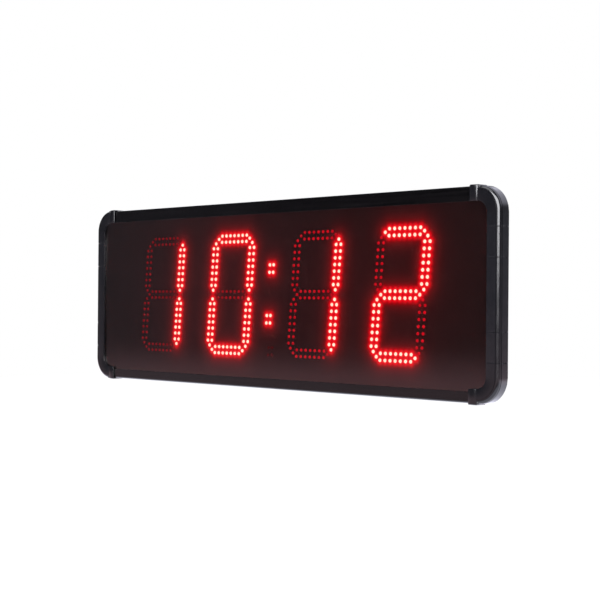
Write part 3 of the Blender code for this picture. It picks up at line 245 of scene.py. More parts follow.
# What reflections see besides the lamps: a colour, its brightness, and the values of an axis of
# the direction between which it rises from nothing to full
COOL = (0.96, 0.96, 1.12)
WARM = (1.30, 0.88, 0.98)
ROOM = (
    (COOL, 0.013, ()),
    (COOL, 0.077, (("X", -0.69, -0.80), ("X", -0.94, -0.84))),
    (WARM, 0.61, (("Z", -0.026, -0.070), ("Z", -0.42, -0.16))),
    (COOL, 1.6, (("Z", -0.36, -0.56),)),
    (COOL, 1.5, (("Z", -0.06, -0.22), ("Z", -0.56, -0.36), ("Y", -0.55, -0.20))),
    (COOL, 1.6, (("Z", 0.25, 0.50), ("X", -0.70, -0.35), ("Y", -0.10, 0.40))),
    (COOL, 0.22, (("Y", 0.10, 0.60),)),
    (COOL, 0.8, (("Z", -0.10, -0.40), ("Y", 0.0, 0.40))),
)
BACKDROP_LIGHT = 1.12

# Soft boxes: azimuth and elevation in degrees, distance, width and height, radiance
LAMP_COLOUR = (0.96, 0.96, 1.0)
LAMPS = (
    ("right_box", 27.0, 25.5, 3.4, (4.0, 2.86), 14.0),
    ("top_box", -13.0, 64.0, 2.8, (1.8, 2.0), 3.0),
    ("left_box", -120.0, 14.0, 3.2, (1.2, 1.8), 2.0),
)

# A noise texture's usual range
NOISE_LOW, NOISE_HIGH = 0.3, 0.7

# Boards and ribbon: what stands this far off a board's faces is a part on it
OFF_BOARD = 0.05 * MM
BOARD_THICKNESS = 1.6 * MM
BOARD_GREEN = (0.006, 0.075, 0.026)
TRACK_GREEN = (0.020, 0.150, 0.055)
RIBBON_PITCH = 1.27 * MM

# Vertices of a CAD node this near each other are merged
MERGE_DISTANCE = 0.002 * MM


# Shader nodes


class Graph:
    """A node tree, and a short way to add nodes to it."""

    def __init__(self, tree):
        self.tree = tree

    def add(self, kind, settings=None, **inputs):
        """A node, with its inputs given by name, or by _ and their number."""
        made = self.tree.nodes.new(f"ShaderNode{kind}")
        for key, value in (settings or {}).items():
            setattr(made, key, value)
        for key, value in inputs.items():
            socket = made.inputs[int(key[1:]) if key[0] == "_" else key]
            if isinstance(value, bpy.types.NodeSocket):
                self.tree.links.new(value, socket)
            else:
                socket.default_value = value
        return made


class Surface(Graph):
    """A material, and short ways to build its look."""

    def __init__(self, name, roughness, metallic=0.0):
        self.material = bpy.data.materials.new(name)
        self.material.use_nodes = True
        super().__init__(self.material.node_tree)
        self.shader = self.tree.nodes["Principled BSDF"]
        self.shader.inputs["Roughness"].default_value = roughness
        self.shader.inputs["Metallic"].default_value = metallic
        self.place = self.add("TexCoord").outputs["Object"]

    def stretched(self, scale):
        """The place on the object, scaled on each axis."""
        return self.add("Mapping", Vector=self.place, Scale=scale).outputs["Vector"]

    def noise(self, scale, detail=3.0, roughness=0.55, vector=None):
        place = vector or self.place
        made = self.add("TexNoise", Vector=place, Scale=scale, Detail=detail, Roughness=roughness)
        return made.outputs["Fac"]

    def ramp(self, value, low, high, to_low=0.0, to_high=1.0):
        """A value held between low and high, and mapped to two others."""
        return self.add("MapRange", _0=value, _1=low, _2=high, _3=to_low, _4=to_high).outputs[0]

    def spread(self, noise, to_low=0.0, to_high=1.0):
        """A noise's usual range, stretched to run between two values."""
        return self.ramp(noise, NOISE_LOW, NOISE_HIGH, to_low, to_high)

    def maths(self, operation, a, b):
        return self.add("Math", {"operation": operation}, _0=a, _1=b).outputs[0]

    def blend(self, share, a, b):
        """Colour a to colour b."""
        made = self.add("Mix", {"data_type": "RGBA"}, _0=share)
        for socket, value in ((made.inputs[6], a), (made.inputs[7], b)):
            if isinstance(value, bpy.types.NodeSocket):
                self.tree.links.new(value, socket)
            else:
                socket.default_value = (*value, 1.0)
        return made.outputs[2]

    def link(self, value, socket):
        self.tree.links.new(value, self.shader.inputs[socket])

    def bump(self, height, distance, strength=1.0, over=None):
        """A relief as deep as distance in metres, over another one where given."""
        inputs = {"Height": height, "Distance": distance, "Strength": strength}
        if over is not None:
            inputs["Normal"] = over
        return self.add("Bump", **inputs).outputs["Normal"]


def moulded(name, dark, light, roughness, grain=1600.0, depth=0.00006):
    """Spark-eroded plastic: fine grain, faint flow marks, and rubbed edges."""
    made = Surface(name, roughness)
    flow = made.noise(14.0, 4.0)
    worn = made.ramp(made.add("NewGeometry").outputs["Pointiness"], 0.53, 0.62)
    speck = made.noise(420.0, 2.0)
    tone = made.blend(made.spread(flow), dark, light)
    rubbed = tuple(channel * 2.0 + 0.0003 for channel in light)
    share = made.maths("MULTIPLY", worn, made.ramp(speck, 0.35, 0.65, 0.2, 0.8))
    made.link(made.blend(share, tone, rubbed), "Base Color")
    gloss = made.spread(made.noise(60.0), roughness - 0.03, roughness + 0.04)
    made.link(gloss, "Roughness")
    made.link(made.bump(made.noise(grain, 2.0), depth), "Normal")
    return made


def painted_metal(name, dark, light, roughness, metallic, stretch, depth):
    """Satin coated or brushed metal, with its grain along one axis."""
    made = Surface(name, roughness, metallic)
    grain = made.noise(1.0, 4.0, 0.6, made.stretched(stretch))
    broad = made.noise(9.0, 3.0)
    mixed = made.maths("MULTIPLY", grain, broad)
    made.link(made.blend(made.ramp(mixed, 0.12, 0.42), dark, light), "Base Color")
    made.link(made.spread(grain, roughness - 0.06, roughness + 0.08), "Roughness")
    made.link(made.bump(grain, depth), "Normal")
    return made


def powder_coat(name, dark, light, roughness):
    """Sheet metal under orange-peel powder coat."""
    made = Surface(name, roughness)
    made.link(made.blend(made.spread(made.noise(11.0)), dark, light), "Base Color")
    gloss = made.spread(made.noise(240.0), roughness - 0.06, roughness + 0.08)
    made.link(gloss, "Roughness")
    fine = made.bump(made.noise(2200.0, 1.0), 0.00003)
    made.link(made.bump(made.noise(620.0, 2.0), 0.00009, 1.0, fine), "Normal")
    return made


def zinc_plate(name):
    """Bright zinc plating: crystals, streaks and duller patches."""
    made = Surface(name, 0.32, 1.0)
    cells = made.add("TexVoronoi", Vector=made.place, Scale=130.0)
    spangle = made.add("SeparateColor", Color=cells.outputs["Color"]).outputs[0]
    streak = made.noise(1.0, 4.0, 0.6, made.stretched((12.0, 240.0, 240.0)))
    bright = made.ramp(spangle, 0.0, 1.0, 0.5, 1.0)
    share = made.maths("MULTIPLY", bright, made.spread(streak, 0.5, 1.0))
    made.link(made.blend(share, (0.24, 0.245, 0.25), (0.46, 0.47, 0.48)), "Base Color")
    made.link(made.ramp(share, 0.2, 1.0, 0.46, 0.26), "Roughness")
    made.link(made.bump(streak, 0.00003), "Normal")
    return made


def foam(name):
    """Black foam with open cells as pits, painted darker towards their middles as shade and paler
    at their rims.
    """
    made = Surface(name, 0.95)
    voronoi = made.add("TexVoronoi", Vector=made.place, Scale=1400.0)
    cells = voronoi.outputs["Distance"]
    # Painted shade: the tone follows the pits' depth, darkest at their floors
    tone = made.blend(made.ramp(cells, 0.1, 0.6), (0.004, 0.004, 0.004), (0.022, 0.022, 0.023))
    made.link(tone, "Base Color")
    made.link(made.bump(cells, 0.0003), "Normal")
    return made


def circuit_board(name, mask, copper, parts, board_low, board_high):
    """Solder mask over a maze of tracks; what stands off the board gets its own colour."""
    made = Surface(name, 0.4)
    cells = made.add(
        "TexVoronoi",
        {"distance": "CHEBYCHEV", "feature": "F1"},
        Vector=made.place,
        Scale=210.0,
        Randomness=0.65,
    ).outputs["Distance"]
    tracks = made.ramp(made.maths("PINGPONG", cells, 0.11), 0.045, 0.06)
    board = made.blend(tracks, mask, copper)
    y = made.add("SeparateXYZ", Vector=made.place).outputs["Y"]
    before = made.maths("LESS_THAN", y, board_low - OFF_BOARD)
    behind = made.maths("GREATER_THAN", y, board_high + OFF_BOARD)
    off = made.maths("MAXIMUM", before, behind)
    pale_parts = tuple(channel * 1.8 + 0.004 for channel in parts)
    speck = made.blend(made.noise(500.0), parts, pale_parts)
    made.link(made.blend(off, board, speck), "Base Color")
    made.link(made.spread(made.noise(90.0), 0.32, 0.5), "Roughness")
    made.link(made.bump(tracks, 0.00004), "Normal")
    return made


def tinted_filter(name):
    """Smoked red acrylic: clear enough to see the LEDs, with a soft gloss."""
    made = Surface(name, 0.06)
    tone = made.blend(made.noise(7.0), (0.55, 0.30, 0.29), (0.60, 0.33, 0.32))
    made.link(tone, "Base Color")
    made.shader.inputs["IOR"].default_value = 1.49
    made.shader.inputs["Transmission Weight"].default_value = 1.0
    made.link(made.spread(made.noise(35.0), 0.04, 0.075), "Roughness")
    return made


def glowing_plate(name):
    """Matt black mask with a painted glow of the lit LEDs' light round them, as its glow attributes
    say, and a faint painted stray light elsewhere.
    """
    made = Surface(name, 0.7)
    tone = made.blend(made.noise(60.0), (0.003, 0.003, 0.003), (0.008, 0.007, 0.007))
    made.link(tone, "Base Color")
    made.shader.inputs["Specular IOR Level"].default_value = 0.15
    # Painted light: the mask's emission stands in for the LEDs' light spilling onto it, and for an
    # even stray light
    near = made.add("Attribute", {"attribute_name": "near_glow"}).outputs["Fac"]
    far = made.add("Attribute", {"attribute_name": "far_glow"}).outputs["Fac"]
    grain = made.ramp(made.noise(300.0, 2.0), 0.2, 0.8, 0.94, 1.06)
    red = made.maths("MULTIPLY", made.maths("ADD", near, far), grain)
    even = made.spread(made.noise(25.0), 0.9 * STRAY_LIGHT, 1.1 * STRAY_LIGHT)
    stray = made.maths("MULTIPLY", even, made.ramp(near, 0.1, 0.5, 1.0, 0.0))
    share = made.maths("DIVIDE", red, made.maths("ADD", red, stray))
    made.link(made.blend(share, (0.62, 1.0, 1.1), (1.0, 0.006, 0.022)), "Emission Color")
    made.link(made.maths("ADD", red, stray), "Emission Strength")
    made.link(made.bump(made.noise(1500.0), 0.00005), "Normal")
    return made


def led_epoxy(name, rim, core, strength, edge):
    """LED lens: rim colour at its base, core colour at its tip. Its emission is a lit LED's own
    light, and a painted glow on an unlit one.
    """
    made = Surface(name, 0.25)
    tip = made.add("Attribute", {"attribute_name": "tip"}).outputs["Fac"]
    level = made.add("Attribute", {"attribute_name": "level"}).outputs["Fac"]
    share = made.ramp(tip, edge[0], edge[1])
    made.link(made.blend(share, rim, core), "Emission Color")
    grain = made.ramp(made.noise(900.0, 2.0), 0.2, 0.8, 0.95, 1.05)
    power = made.maths("MULTIPLY", made.maths("MULTIPLY", level, strength), grain)
    made.link(power, "Emission Strength")
    made.shader.inputs["Base Color"].default_value = (0.02, 0.001, 0.001, 1.0)
    made.shader.inputs["Specular IOR Level"].default_value = 0.0
    return made


def striped_cable(name):
    """Ribbon cable, with valleys between each two wires and painted shade darkening those valleys.
    """
    made = Surface(name, 0.55)
    x = made.add("SeparateXYZ", Vector=made.place).outputs["X"]
    wires = made.maths("PINGPONG", x, RIBBON_PITCH / 2)
    valley_shade = made.ramp(wires, 0.0, 0.6 * MM)
    # Painted shade: darker grey at the bottom of each valleys' crease
    made.link(made.blend(valley_shade, (0.16, 0.16, 0.17), (0.36, 0.36, 0.37)), "Base Color")
    made.link(made.bump(wires, 0.3, 0.6), "Normal")
    return made


def rubber(name, dark, light):
    """Matt cable sheath."""
    made = Surface(name, 0.6)
    made.link(made.blend(made.noise(80.0), dark, light), "Base Color")
    made.link(made.spread(made.noise(300.0), 0.52, 0.68), "Roughness")
    made.link(made.bump(made.noise(900.0), 0.00004), "Normal")
    return made


LEFT_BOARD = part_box("digit_board_1")
CONTROL_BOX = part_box("control_board")
SUPPLY_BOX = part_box("supply_board")
BUTTON_BOARD_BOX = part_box("button_board")
CAP = moulded(
    "cap_plastic", (0.0022, 0.0022, 0.0028), (0.0030, 0.0030, 0.0038), 0.16, 900.0, 0.00002
)
RAIL = painted_metal(
    "rail_black",
    (0.0004, 0.0004, 0.0005),
    (0.0013, 0.0012, 0.0015),
    0.17,
    0.0,
    (6.0, 900.0, 900.0),
    0.00003,
)
FILTER = tinted_filter("filter_red")
PLATE = glowing_plate("plate_black")
LIT = led_epoxy("led_lit", (1.0, 0.02, 0.03), (1.0, 0.95, 0.76), 3.2, (0.0, 0.33))
# Unlit LEDs get a painted glow: emission, though they are not lit
UNLIT = led_epoxy("led_unlit_painted_glow", (0.30, 0.004, 0.010), (1.0, 0.010, 0.035), 1.0, (0.0, 0.5))
FOAM = foam("gasket_foam")
SHEET = powder_coat("sheet_black", (0.016, 0.016, 0.018), (0.026, 0.026, 0.028), 0.5)
ZINC = zinc_plate("zinc_steel")
PLASTIC = moulded("black_plastic", (0.010, 0.010, 0.011), (0.018, 0.018, 0.019), 0.42, 1200.0)
RED_PLASTIC = moulded("button_red", (0.34, 0.010, 0.012), (0.46, 0.018, 0.018), 0.38, 900.0)
ALUMINIUM = painted_metal(
    "aluminium", (0.42, 0.43, 0.44), (0.66, 0.67, 0.68), 0.36, 1.0, (8.0, 700.0, 700.0), 0.00003
)
SCREW = painted_metal(
    "screw_black",
    (0.018, 0.018, 0.020),
    (0.045, 0.045, 0.048),
    0.34,
    0.8,
    (700.0, 60.0, 700.0),
    0.00002,
)
NICKEL = painted_metal(
    "nickel", (0.50, 0.49, 0.46), (0.72, 0.70, 0.66), 0.24, 1.0, (700.0, 700.0, 20.0), 0.00002
)
CABLE = rubber("cable_grey", (0.24, 0.24, 0.25), (0.32, 0.32, 0.33))
RIBBON = striped_cable("ribbon_grey")
BLACK_BOARD = circuit_board(
    "board_black",
    (0.008, 0.010, 0.009),
    (0.018, 0.022, 0.020),
    (0.012, 0.012, 0.012),
    LEFT_BOARD[1].y - BOARD_THICKNESS,
    LEFT_BOARD[1].y,
)
CONTROL_GREEN = circuit_board(
    "control_green",
    BOARD_GREEN,
    TRACK_GREEN,
    (0.010, 0.010, 0.011),
    CONTROL_BOX[0].y,
    CONTROL_BOX[0].y + BOARD_THICKNESS,
)
SUPPLY_GREEN = circuit_board(
    "supply_green",
    BOARD_GREEN,
    TRACK_GREEN,
    (0.030, 0.028, 0.020),
    SUPPLY_BOX[0].y,
    SUPPLY_BOX[0].y + BOARD_THICKNESS,
)
BUTTON_GREEN = circuit_board(
    "button_green",
    BOARD_GREEN,
    TRACK_GREEN,
    (0.012, 0.012, 0.012),
    BUTTON_BOARD_BOX[0].y,
    BUTTON_BOARD_BOX[1].y,
)


# Meshes


def add_object(name, data):
    """A new object in the scene."""
    made = bpy.data.objects.new(name, data)
    bpy.context.scene.collection.objects.link(made)
    return made


def middle(node):
    """The middle of a node's box."""
    return [(low + high) / 2 for low, high in zip(*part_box(node))]


def closed_mesh(name, shape):
    """A mesh of closed shapes, with every face turned outwards."""
    mesh = bpy.data.meshes.new(name)
    mesh.from_pydata([tuple(v) for v in shape.verts], [], [tuple(f) for f in shape.faces])
    bm = bmesh.new()
    bm.from_mesh(mesh)
    bmesh.ops.recalc_face_normals(bm, faces=bm.faces)
    bm.to_mesh(mesh)
    bm.free()
    return mesh


def piece(
    name,
    shape,
    surface,
    body,
    replaces=(),
    smooth_below=SMOOTH_BELOW,
    attributes=None,
):
    """A new visible piece that rides on a body."""
    mesh = closed_mesh(name, shape)
    for key, values in (attributes or {}).items():
        layer = mesh.attributes.new(key, "FLOAT", "POINT")
        layer.data.foreach_set("value", np.asarray(values, np.float32))
    mesh.shade_smooth()
    mesh.set_sharp_from_angle(angle=math.radians(smooth_below))
    made = add_object(name, mesh)
    made.data.materials.append(surface.material)
    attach(made, body)
    if replaces:
        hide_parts(*replaces)
    return made


class Solid:
    """Vertices and faces gathered from several closed shapes."""

    def __init__(self, verts=(), faces=()):
        self.verts = list(verts)
        self.faces = list(faces)

    def loft(self, rings):
        """A closed skin over rings of equal length, with both ends capped."""
        base = len(self.verts)
        count = len(rings[0])
        for ring in rings:
            self.verts.extend(ring)
        for r in range(len(rings) - 1):
            for i in range(count):
                j = (i + 1) % count
                low, high = base + r * count, base + (r + 1) * count
                self.faces.append((low + i, low + j, high + j, high + i))
        last = base + (len(rings) - 1) * count
        self.faces.append(tuple(range(base, base + count)))
        self.faces.append(tuple(range(last, last + count)))
        return self

    def lathe(self, centre, profile, axis, sides):
        """Circles of (radius, height) about an axis through centre, in metres."""
        rings = []
        for radius, height in profile:
            ring = []
            for step in range(sides):
                turn = 2 * math.pi * (step + 0.5) / sides
                a, b = radius * math.cos(turn), radius * math.sin(turn)
                if axis == "Y":
                    ring.append((centre[0] + a, centre[1] + height, centre[2] + b))
                else:
                    ring.append((centre[0] + a, centre[1] + b, centre[2] + height))
            rings.append(ring)
        return self.loft(rings)


def inset_outline(points, distance):
    """Each corner of a closed outline moved inwards by about this distance."""
    area = sum(a[0] * b[1] - b[0] * a[1] for a, b in zip(points, points[1:] + points[:1]))
    turn = 1.0 if area > 0 else -1.0
    moved = []
    for i, here in enumerate(points):
        arriving = (Vector(here) - Vector(points[i - 1])).normalized()
        leaving = (Vector(points[(i + 1) % len(points)]) - Vector(here)).normalized()
        along = (arriving + leaving).normalized()
        moved.append((here[0] - turn * along.y * distance, here[1] + turn * along.x * distance))
    return moved


def arc(centre, radius, start, end, steps):
    """Points along a circle, from one angle in degrees to another."""
    turns = [math.radians(start + (end - start) * step / steps) for step in range(steps + 1)]
    return [(centre[0] + radius * math.cos(t), centre[1] + radius * math.sin(t)) for t in turns]


def quarter(steps):
    """The angles of a quarter turn in equal steps, both ends included."""
    return [math.pi / 2 * step / steps for step in range(steps + 1)]


def cap_section(width):
    """The side cap's C section, as (inset from the outer edge, depth) in millimetres."""
    fillet = [
        (CAP_FILLET * (1 - math.cos(t)), CAP_FRONT + CAP_FILLET * (1 - math.sin(t)))
        for t in quarter(FILLET_STEPS)
    ]
    lip = [
        (width - CAP_LIP_RADIUS * (1 - math.sin(t)), CAP_FRONT + CAP_LIP_RADIUS * (1 - math.cos(t)))
        for t in quarter(LIP_STEPS)
    ]
    side_groove = CAP_FRONT + CAP_FILLET + GROOVE_MARGIN
    front_groove = CAP_FILLET + GROOVE_MARGIN
    rear = FRAME_DEPTH - CAP_WALL
    return [
        (CAP_CHAMFER, FRAME_DEPTH),
        (0.0, FRAME_DEPTH - CAP_CHAMFER),
        (0.0, side_groove + GROOVE_WIDTH),
        (GROOVE_DEPTH, side_groove + GROOVE_WIDTH - GROOVE_FLANK),
        (GROOVE_DEPTH, side_groove + GROOVE_FLANK),
        (0.0, side_groove),
        *fillet,
        (front_groove, CAP_FRONT),
        (front_groove + GROOVE_FLANK, CAP_FRONT + GROOVE_DEPTH),
        (front_groove + GROOVE_WIDTH - GROOVE_FLANK, CAP_FRONT + GROOVE_DEPTH),
        (front_groove + GROOVE_WIDTH, CAP_FRONT),
        *lip,
        (width, FLANGE_BACK),
        (CAP_WALL, FLANGE_BACK),
        (CAP_WALL, rear),
        (REAR_FLANGE, rear),
        (REAR_FLANGE, FRAME_DEPTH),
    ]


def cap_ring(outer, inner, side, up, shrink=0.0):
    """The cap's section set between two points of the frame's plan, mirrored to its quarter."""
    width = math.dist(outer, inner)
    section = cap_section(width)
    if shrink:
        section = inset_outline(section, shrink)
    ring = []
    for inset, depth in section:
        share = inset / width
        x = outer[0] + (inner[0] - outer[0]) * share
        z = outer[1] + (inner[1] - outer[1]) * share
        ring.append((side * x * MM, FRONT_Y + depth * MM, up * z * MM))
    return ring


def corner_rings(side, up):
    """The upper right corner's sections, from its lower seam to its collar, mirrored."""
    centre = (HALF_WIDTH - OUTER_RADIUS, HALF_HEIGHT - OUTER_RADIUS)
    offset = (
        centre[0] - OPENING_HALF_WIDTH + INNER_RADIUS,
        centre[1] - CAP_INNER_Z + INNER_RADIUS,
    )
    low = CORNER_SEAM_Z + GAP / 2
    rings = [
        cap_ring((HALF_WIDTH, low), (OPENING_HALF_WIDTH, low), side, up, END_BEVEL),
        cap_ring((HALF_WIDTH, low + END_BEVEL), (OPENING_HALF_WIDTH, low + END_BEVEL), side, up),
    ]
    for turn in quarter(CORNER_STEPS):
        ray = (math.cos(turn), math.sin(turn))
        along = ray[0] * offset[0] + ray[1] * offset[1]
        short = offset[0] ** 2 + offset[1] ** 2 - INNER_RADIUS**2
        reach = math.sqrt(along**2 - short) - along
        outer = (centre[0] + OUTER_RADIUS * ray[0], centre[1] + OUTER_RADIUS * ray[1])
        inner = (centre[0] + reach * ray[0], centre[1] + reach * ray[1])
        rings.append(cap_ring(outer, inner, side, up))
    end = COLLAR_END_X - COLLAR_LAP
    rings.append(cap_ring((end, HALF_HEIGHT), (end, CAP_INNER_Z), side, up))
    return rings


def collar_section(up, shrink, sink):
    """The collar that laps over a rail's end, as (Y, Z) in metres, its front set back by sink."""
    top = COLLAR_HALF_HEIGHT
    centre = (sink + COLLAR_OUTER_RADIUS, top - COLLAR_OUTER_RADIUS)
    outline = [(FRAME_DEPTH, top), *arc(centre, COLLAR_OUTER_RADIUS, 90, 180, COLLAR_STEPS)]
    centre = (sink + COLLAR_LIP_RADIUS, CAP_INNER_Z + COLLAR_LIP_RADIUS)
    outline += arc(centre, COLLAR_LIP_RADIUS, 180, 270, COLLAR_LIP_STEPS)
    outline += [
        (COLLAR_FRONT_WALL, CAP_INNER_Z),
        (COLLAR_FRONT_WALL, top - COLLAR_WALL),
        (FRAME_DEPTH, top - COLLAR_WALL),
    ]
    if shrink:
        outline = inset_outline(outline, shrink)
    return [(FRONT_Y + depth * MM, up * z * MM) for depth, z in outline]


def add_pip(shape, side, up):
    """A moulded pip beside the collar, on the cap's rounded edge."""
    x = side * (COLLAR_END_X + PIP_OUTWARDS) * MM
    y = FRONT_Y + PIP_DEPTH * MM
    z = up * (HALF_HEIGHT - PIP_INSET) * MM
    rings = []
    for step in range(PIP_RINGS + 1):
        turn = math.pi * (PIP_POLE + (1 - 2 * PIP_POLE) * step / PIP_RINGS)
        along = x + PIP_RADIUS * MM * math.cos(turn)
        circle = arc((y, z), PIP_RADIUS * MM * math.sin(turn), 0, 360, PIP_SIDES)[:-1]
        rings.append([(along, *point) for point in circle])
    shape.loft(rings)


def build_corner(name, side, up):
    """A corner cap with its collar, whose front slopes down towards the cap, and its pip."""
    shape = Solid().loft(corner_rings(side, up))
    bevels = [(COLLAR_BEVEL * along, COLLAR_BEVEL * inset) for along, inset in COLLAR_BEVEL_SHARES]
    stations = [(COLLAR_START_X + along, inset, 0.0) for along, inset in bevels]
    stations.append((COLLAR_END_X - COLLAR_SLOPE, 0.0, 0.0))
    stations += [(COLLAR_END_X - along, inset, COLLAR_SINK) for along, inset in reversed(bevels)]
    rings = []
    for x, shrink, setback in stations:
        rings.append([(side * x * MM, y, z) for y, z in collar_section(up, shrink, setback)])
    shape.loft(rings)
    add_pip(shape, side, up)
    piece(f"{name}_moulding", shape, CAP, "display", (name,))


def add_tongue(shape, side, end, way):
    """A strip inside the side wall that closes the seam past this end to the LEDs' light."""
    wall = HALF_WIDTH - CAP_WALL
    inner = wall - TONGUE_THICKNESS
    front = FLANGE_BACK + TONGUE_CLEARANCE
    rear = FRAME_DEPTH - CAP_WALL - TONGUE_CLEARANCE
    root = end - way * TONGUE_ROOT
    sections = (
        (wall + TONGUE_CLEARANCE, end - way),
        (wall - TONGUE_CLEARANCE, end + way * TONGUE_REACH),
    )
    for outer, tip in sections:
        corners = ((inner, front), (outer, front), (outer, rear), (inner, rear))
        rings = []
        for z in (root, tip):
            rings.append([(side * x * MM, FRONT_Y + depth * MM, z * MM) for x, depth in corners])
        shape.loft(rings)


def build_straight_module(name, side, low, high, tongues):
    """A straight cap module between two seams, with tongues behind its seams if asked for."""
    low, high = low + GAP / 2, high - GAP / 2
    stations = (
        (low, END_BEVEL),
        (low + END_BEVEL, 0.0),
        (high - END_BEVEL, 0.0),
        (high, END_BEVEL),
    )
    rings = []
    for z, shrink in stations:
        rings.append(cap_ring((HALF_WIDTH, z), (OPENING_HALF_WIDTH, z), side, 1, shrink))
    shape = Solid().loft(rings)
    if tongues:
        add_tongue(shape, side, low, -1)
        add_tongue(shape, side, high, 1)
    piece(f"{name}_moulding", shape, CAP, "display", (name,))


def build_rail(name, up, inner_z):
    """An extruded rail: rounded outer bead, with a groove beside it."""
    bead = [
        (RAIL_FRONT + RAIL_BEAD * (1 - math.sin(t)), RAIL_BEAD * (1 - math.cos(t)))
        for t in quarter(BEAD_STEPS)
    ]
    groove = RAIL_BEAD + GROOVE_MARGIN
    lip = RAIL_HALF_HEIGHT - inner_z
    rear = FRAME_DEPTH - CAP_WALL
    outline = [
        (FRAME_DEPTH, RAIL_CHAMFER),
        (FRAME_DEPTH - RAIL_CHAMFER, 0.0),
        *bead,
        (RAIL_FRONT + GROOVE_DEPTH, groove),
        (RAIL_FRONT + GROOVE_DEPTH, groove + RAIL_GROOVE_WIDTH - GROOVE_MARGIN),
        (RAIL_FRONT, groove + RAIL_GROOVE_WIDTH),
        (RAIL_FRONT, lip - RAIL_LIP_CHAMFER),
        (RAIL_FRONT + RAIL_LIP_CHAMFER, lip),
        (FLANGE_BACK, lip),
        (FLANGE_BACK, CAP_WALL),
        (rear, CAP_WALL),
        (rear, REAR_FLANGE),
        (FRAME_DEPTH, REAR_FLANGE),
    ]
    end = (COLLAR_END_X - COLLAR_LAP - GAP) * MM
    rings = []
    for x in (-end, end):
        rings.append(
            [
                (x, FRONT_Y + depth * MM, up * (RAIL_HALF_HEIGHT - inset) * MM)
                for depth, inset in outline
            ]
        )
    shape = Solid().loft(rings)
    return piece(f"{name}_extrusion", shape, RAIL, "display", (name,))


def apply_modifiers(obj):
    """The piece's mesh as its modifiers leave it."""
    evaluated = obj.evaluated_get(bpy.context.evaluated_depsgraph_get())
    mesh = bpy.data.meshes.new_from_object(evaluated)
    obj.modifiers.clear()
    obj.data = mesh
    mesh.set_sharp_from_angle(angle=math.radians(SMOOTH_BELOW))


def cut(obj, shape):
    """Cuts a Solid out of a finished piece."""
    cutter = add_object("cutter", closed_mesh("cutter", shape))
    modifier = obj.modifiers.new("Cut", "BOOLEAN")
    modifier.operation = "DIFFERENCE"
    modifier.solver = "EXACT"
    modifier.object = cutter
    bpy.context.view_layer.update()
    apply_modifiers(obj)
    bpy.data.objects.remove(cutter)


# Frame


def build_frame():
    """Corners and straight modules on both sides, the two rails, and the buttons' holes."""
    for hand, side in (("left", -1), ("right", 1)):
        build_corner(f"{hand}_upper_corner", side, 1)
        build_corner(f"{hand}_lower_corner", side, -1)
        for level, low, high, tongues in (
            ("upper", MIDDLE_SEAM_Z, CORNER_SEAM_Z, True),
            ("middle", -MIDDLE_SEAM_Z, MIDDLE_SEAM_Z, False),
            ("lower", -CORNER_SEAM_Z, -MIDDLE_SEAM_Z, True),
        ):
            build_straight_module(f"{hand}_{level}_spacer", side, low, high, tongues)
    build_rail("top_rail", 1, CAP_INNER_Z)
    bottom = build_rail("bottom_rail", -1, BOTTOM_OPENING_Z)
    holes = Solid()
    hole = [(BUTTON_HOLE_RADIUS * MM, height * MM) for height in BUTTON_HOLE]
    for name in BUTTONS:
        x, y, _ = middle(name)
        holes.lathe((x, y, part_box(name)[0].z), hole, "Z", HOLE_SIDES)
    cut(bottom, holes)


# LEDs


def segment_leds():
    """Each segment's sixteen LEDs as (u, v) steps from the digit's centre."""
    rows = {"A": -ROW_V, "G": 0.0, "D": ROW_V}
    columns = {"F": (-1, -1), "B": (1, -1), "E": (-1, 1), "C": (1, 1)}
    found = {}
    for name, v in rows.items():
        leds = [(u, v + side * HALF_PAIR) for side in (-1, 1) for u in range(-3, 4)]
        found[name] = [*leds, (-SEGMENT_ENDS, v), (SEGMENT_ENDS, v)]
    for name, (su, sv) in columns.items():
        u, v = su * COLUMN_U, sv * COLUMN_V
        leds = [(u + side * HALF_PAIR, v + step) for side in (-1, 1) for step in range(-3, 4)]
        found[name] = [*leds, (u, v - SEGMENT_ENDS), (u, v + SEGMENT_ENDS)]
    return found


def place_led(centre_x, u, v):
    """The X and Z of an LED, with the digits' slant."""
    z = -v * PITCH
    return centre_x + u * PITCH + SLANT * z, z


def cluster(centre):
    """Four LEDs round a centre, as (u, v) steps."""
    du, dv = COLON_SPACING
    return [(centre[0] + su * du, centre[1] + sv * dv) for su in (-1, 1) for sv in (-1, 1)]


def led_shape(radius, tip_y, board_y):
    """One LED as rings of (radius, y) with each ring's share of the way to the tip."""
    rings = []
    for step in range(LED_DOME_RINGS + 1):
        turn = math.radians(LED_DOME_START + (90 - LED_DOME_START) * step / LED_DOME_RINGS)
        y = tip_y + radius * (1 - math.cos(turn))
        rings.append((radius * math.sin(turn), y, math.cos(turn)))
    rings.append((radius, board_y - LED_FLANGE_HEIGHT, 0.0))
    rings.append((radius * LED_FLANGE, board_y - LED_FLANGE_HEIGHT, 0.0))
    rings.append((radius * LED_FLANGE, board_y - LED_STANDOFF, 0.0))
    return rings


def build_leds(name, places, levels, surface, tip_y, board_y):
    """A group of LEDs. Lit ones look larger, as their light spreads in the filter."""
    rings = led_shape(LIT_RADIUS if surface is LIT else LED_RADIUS, tip_y, board_y)
    turns = 2 * np.pi * (np.arange(LED_SIDES) + 0.5) / LED_SIDES
    one, tips = [], []
    for radius, y, tip in rings:
        for turn in turns:
            one.append((radius * math.cos(turn), y, radius * math.sin(turn)))
            tips.append(tip)
    one = np.array(one)
    faces = Solid().loft([[(0, 0, 0)] * LED_SIDES for _ in rings]).faces
    verts, all_faces = [], []
    for number, (x, z) in enumerate(places):
        verts.append(one + np.array((x, 0.0, z)))
        base = number * len(one)
        all_faces.extend(tuple(base + i for i in face) for face in faces)
    attributes = {"tip": np.tile(tips, len(places)), "level": np.repeat(levels, len(one))}
    shape = Solid(np.concatenate(verts), all_faces)
    smooth = LED_SMOOTH_BELOW
    piece(name, shape, surface, "display", smooth_below=smooth, attributes=attributes)


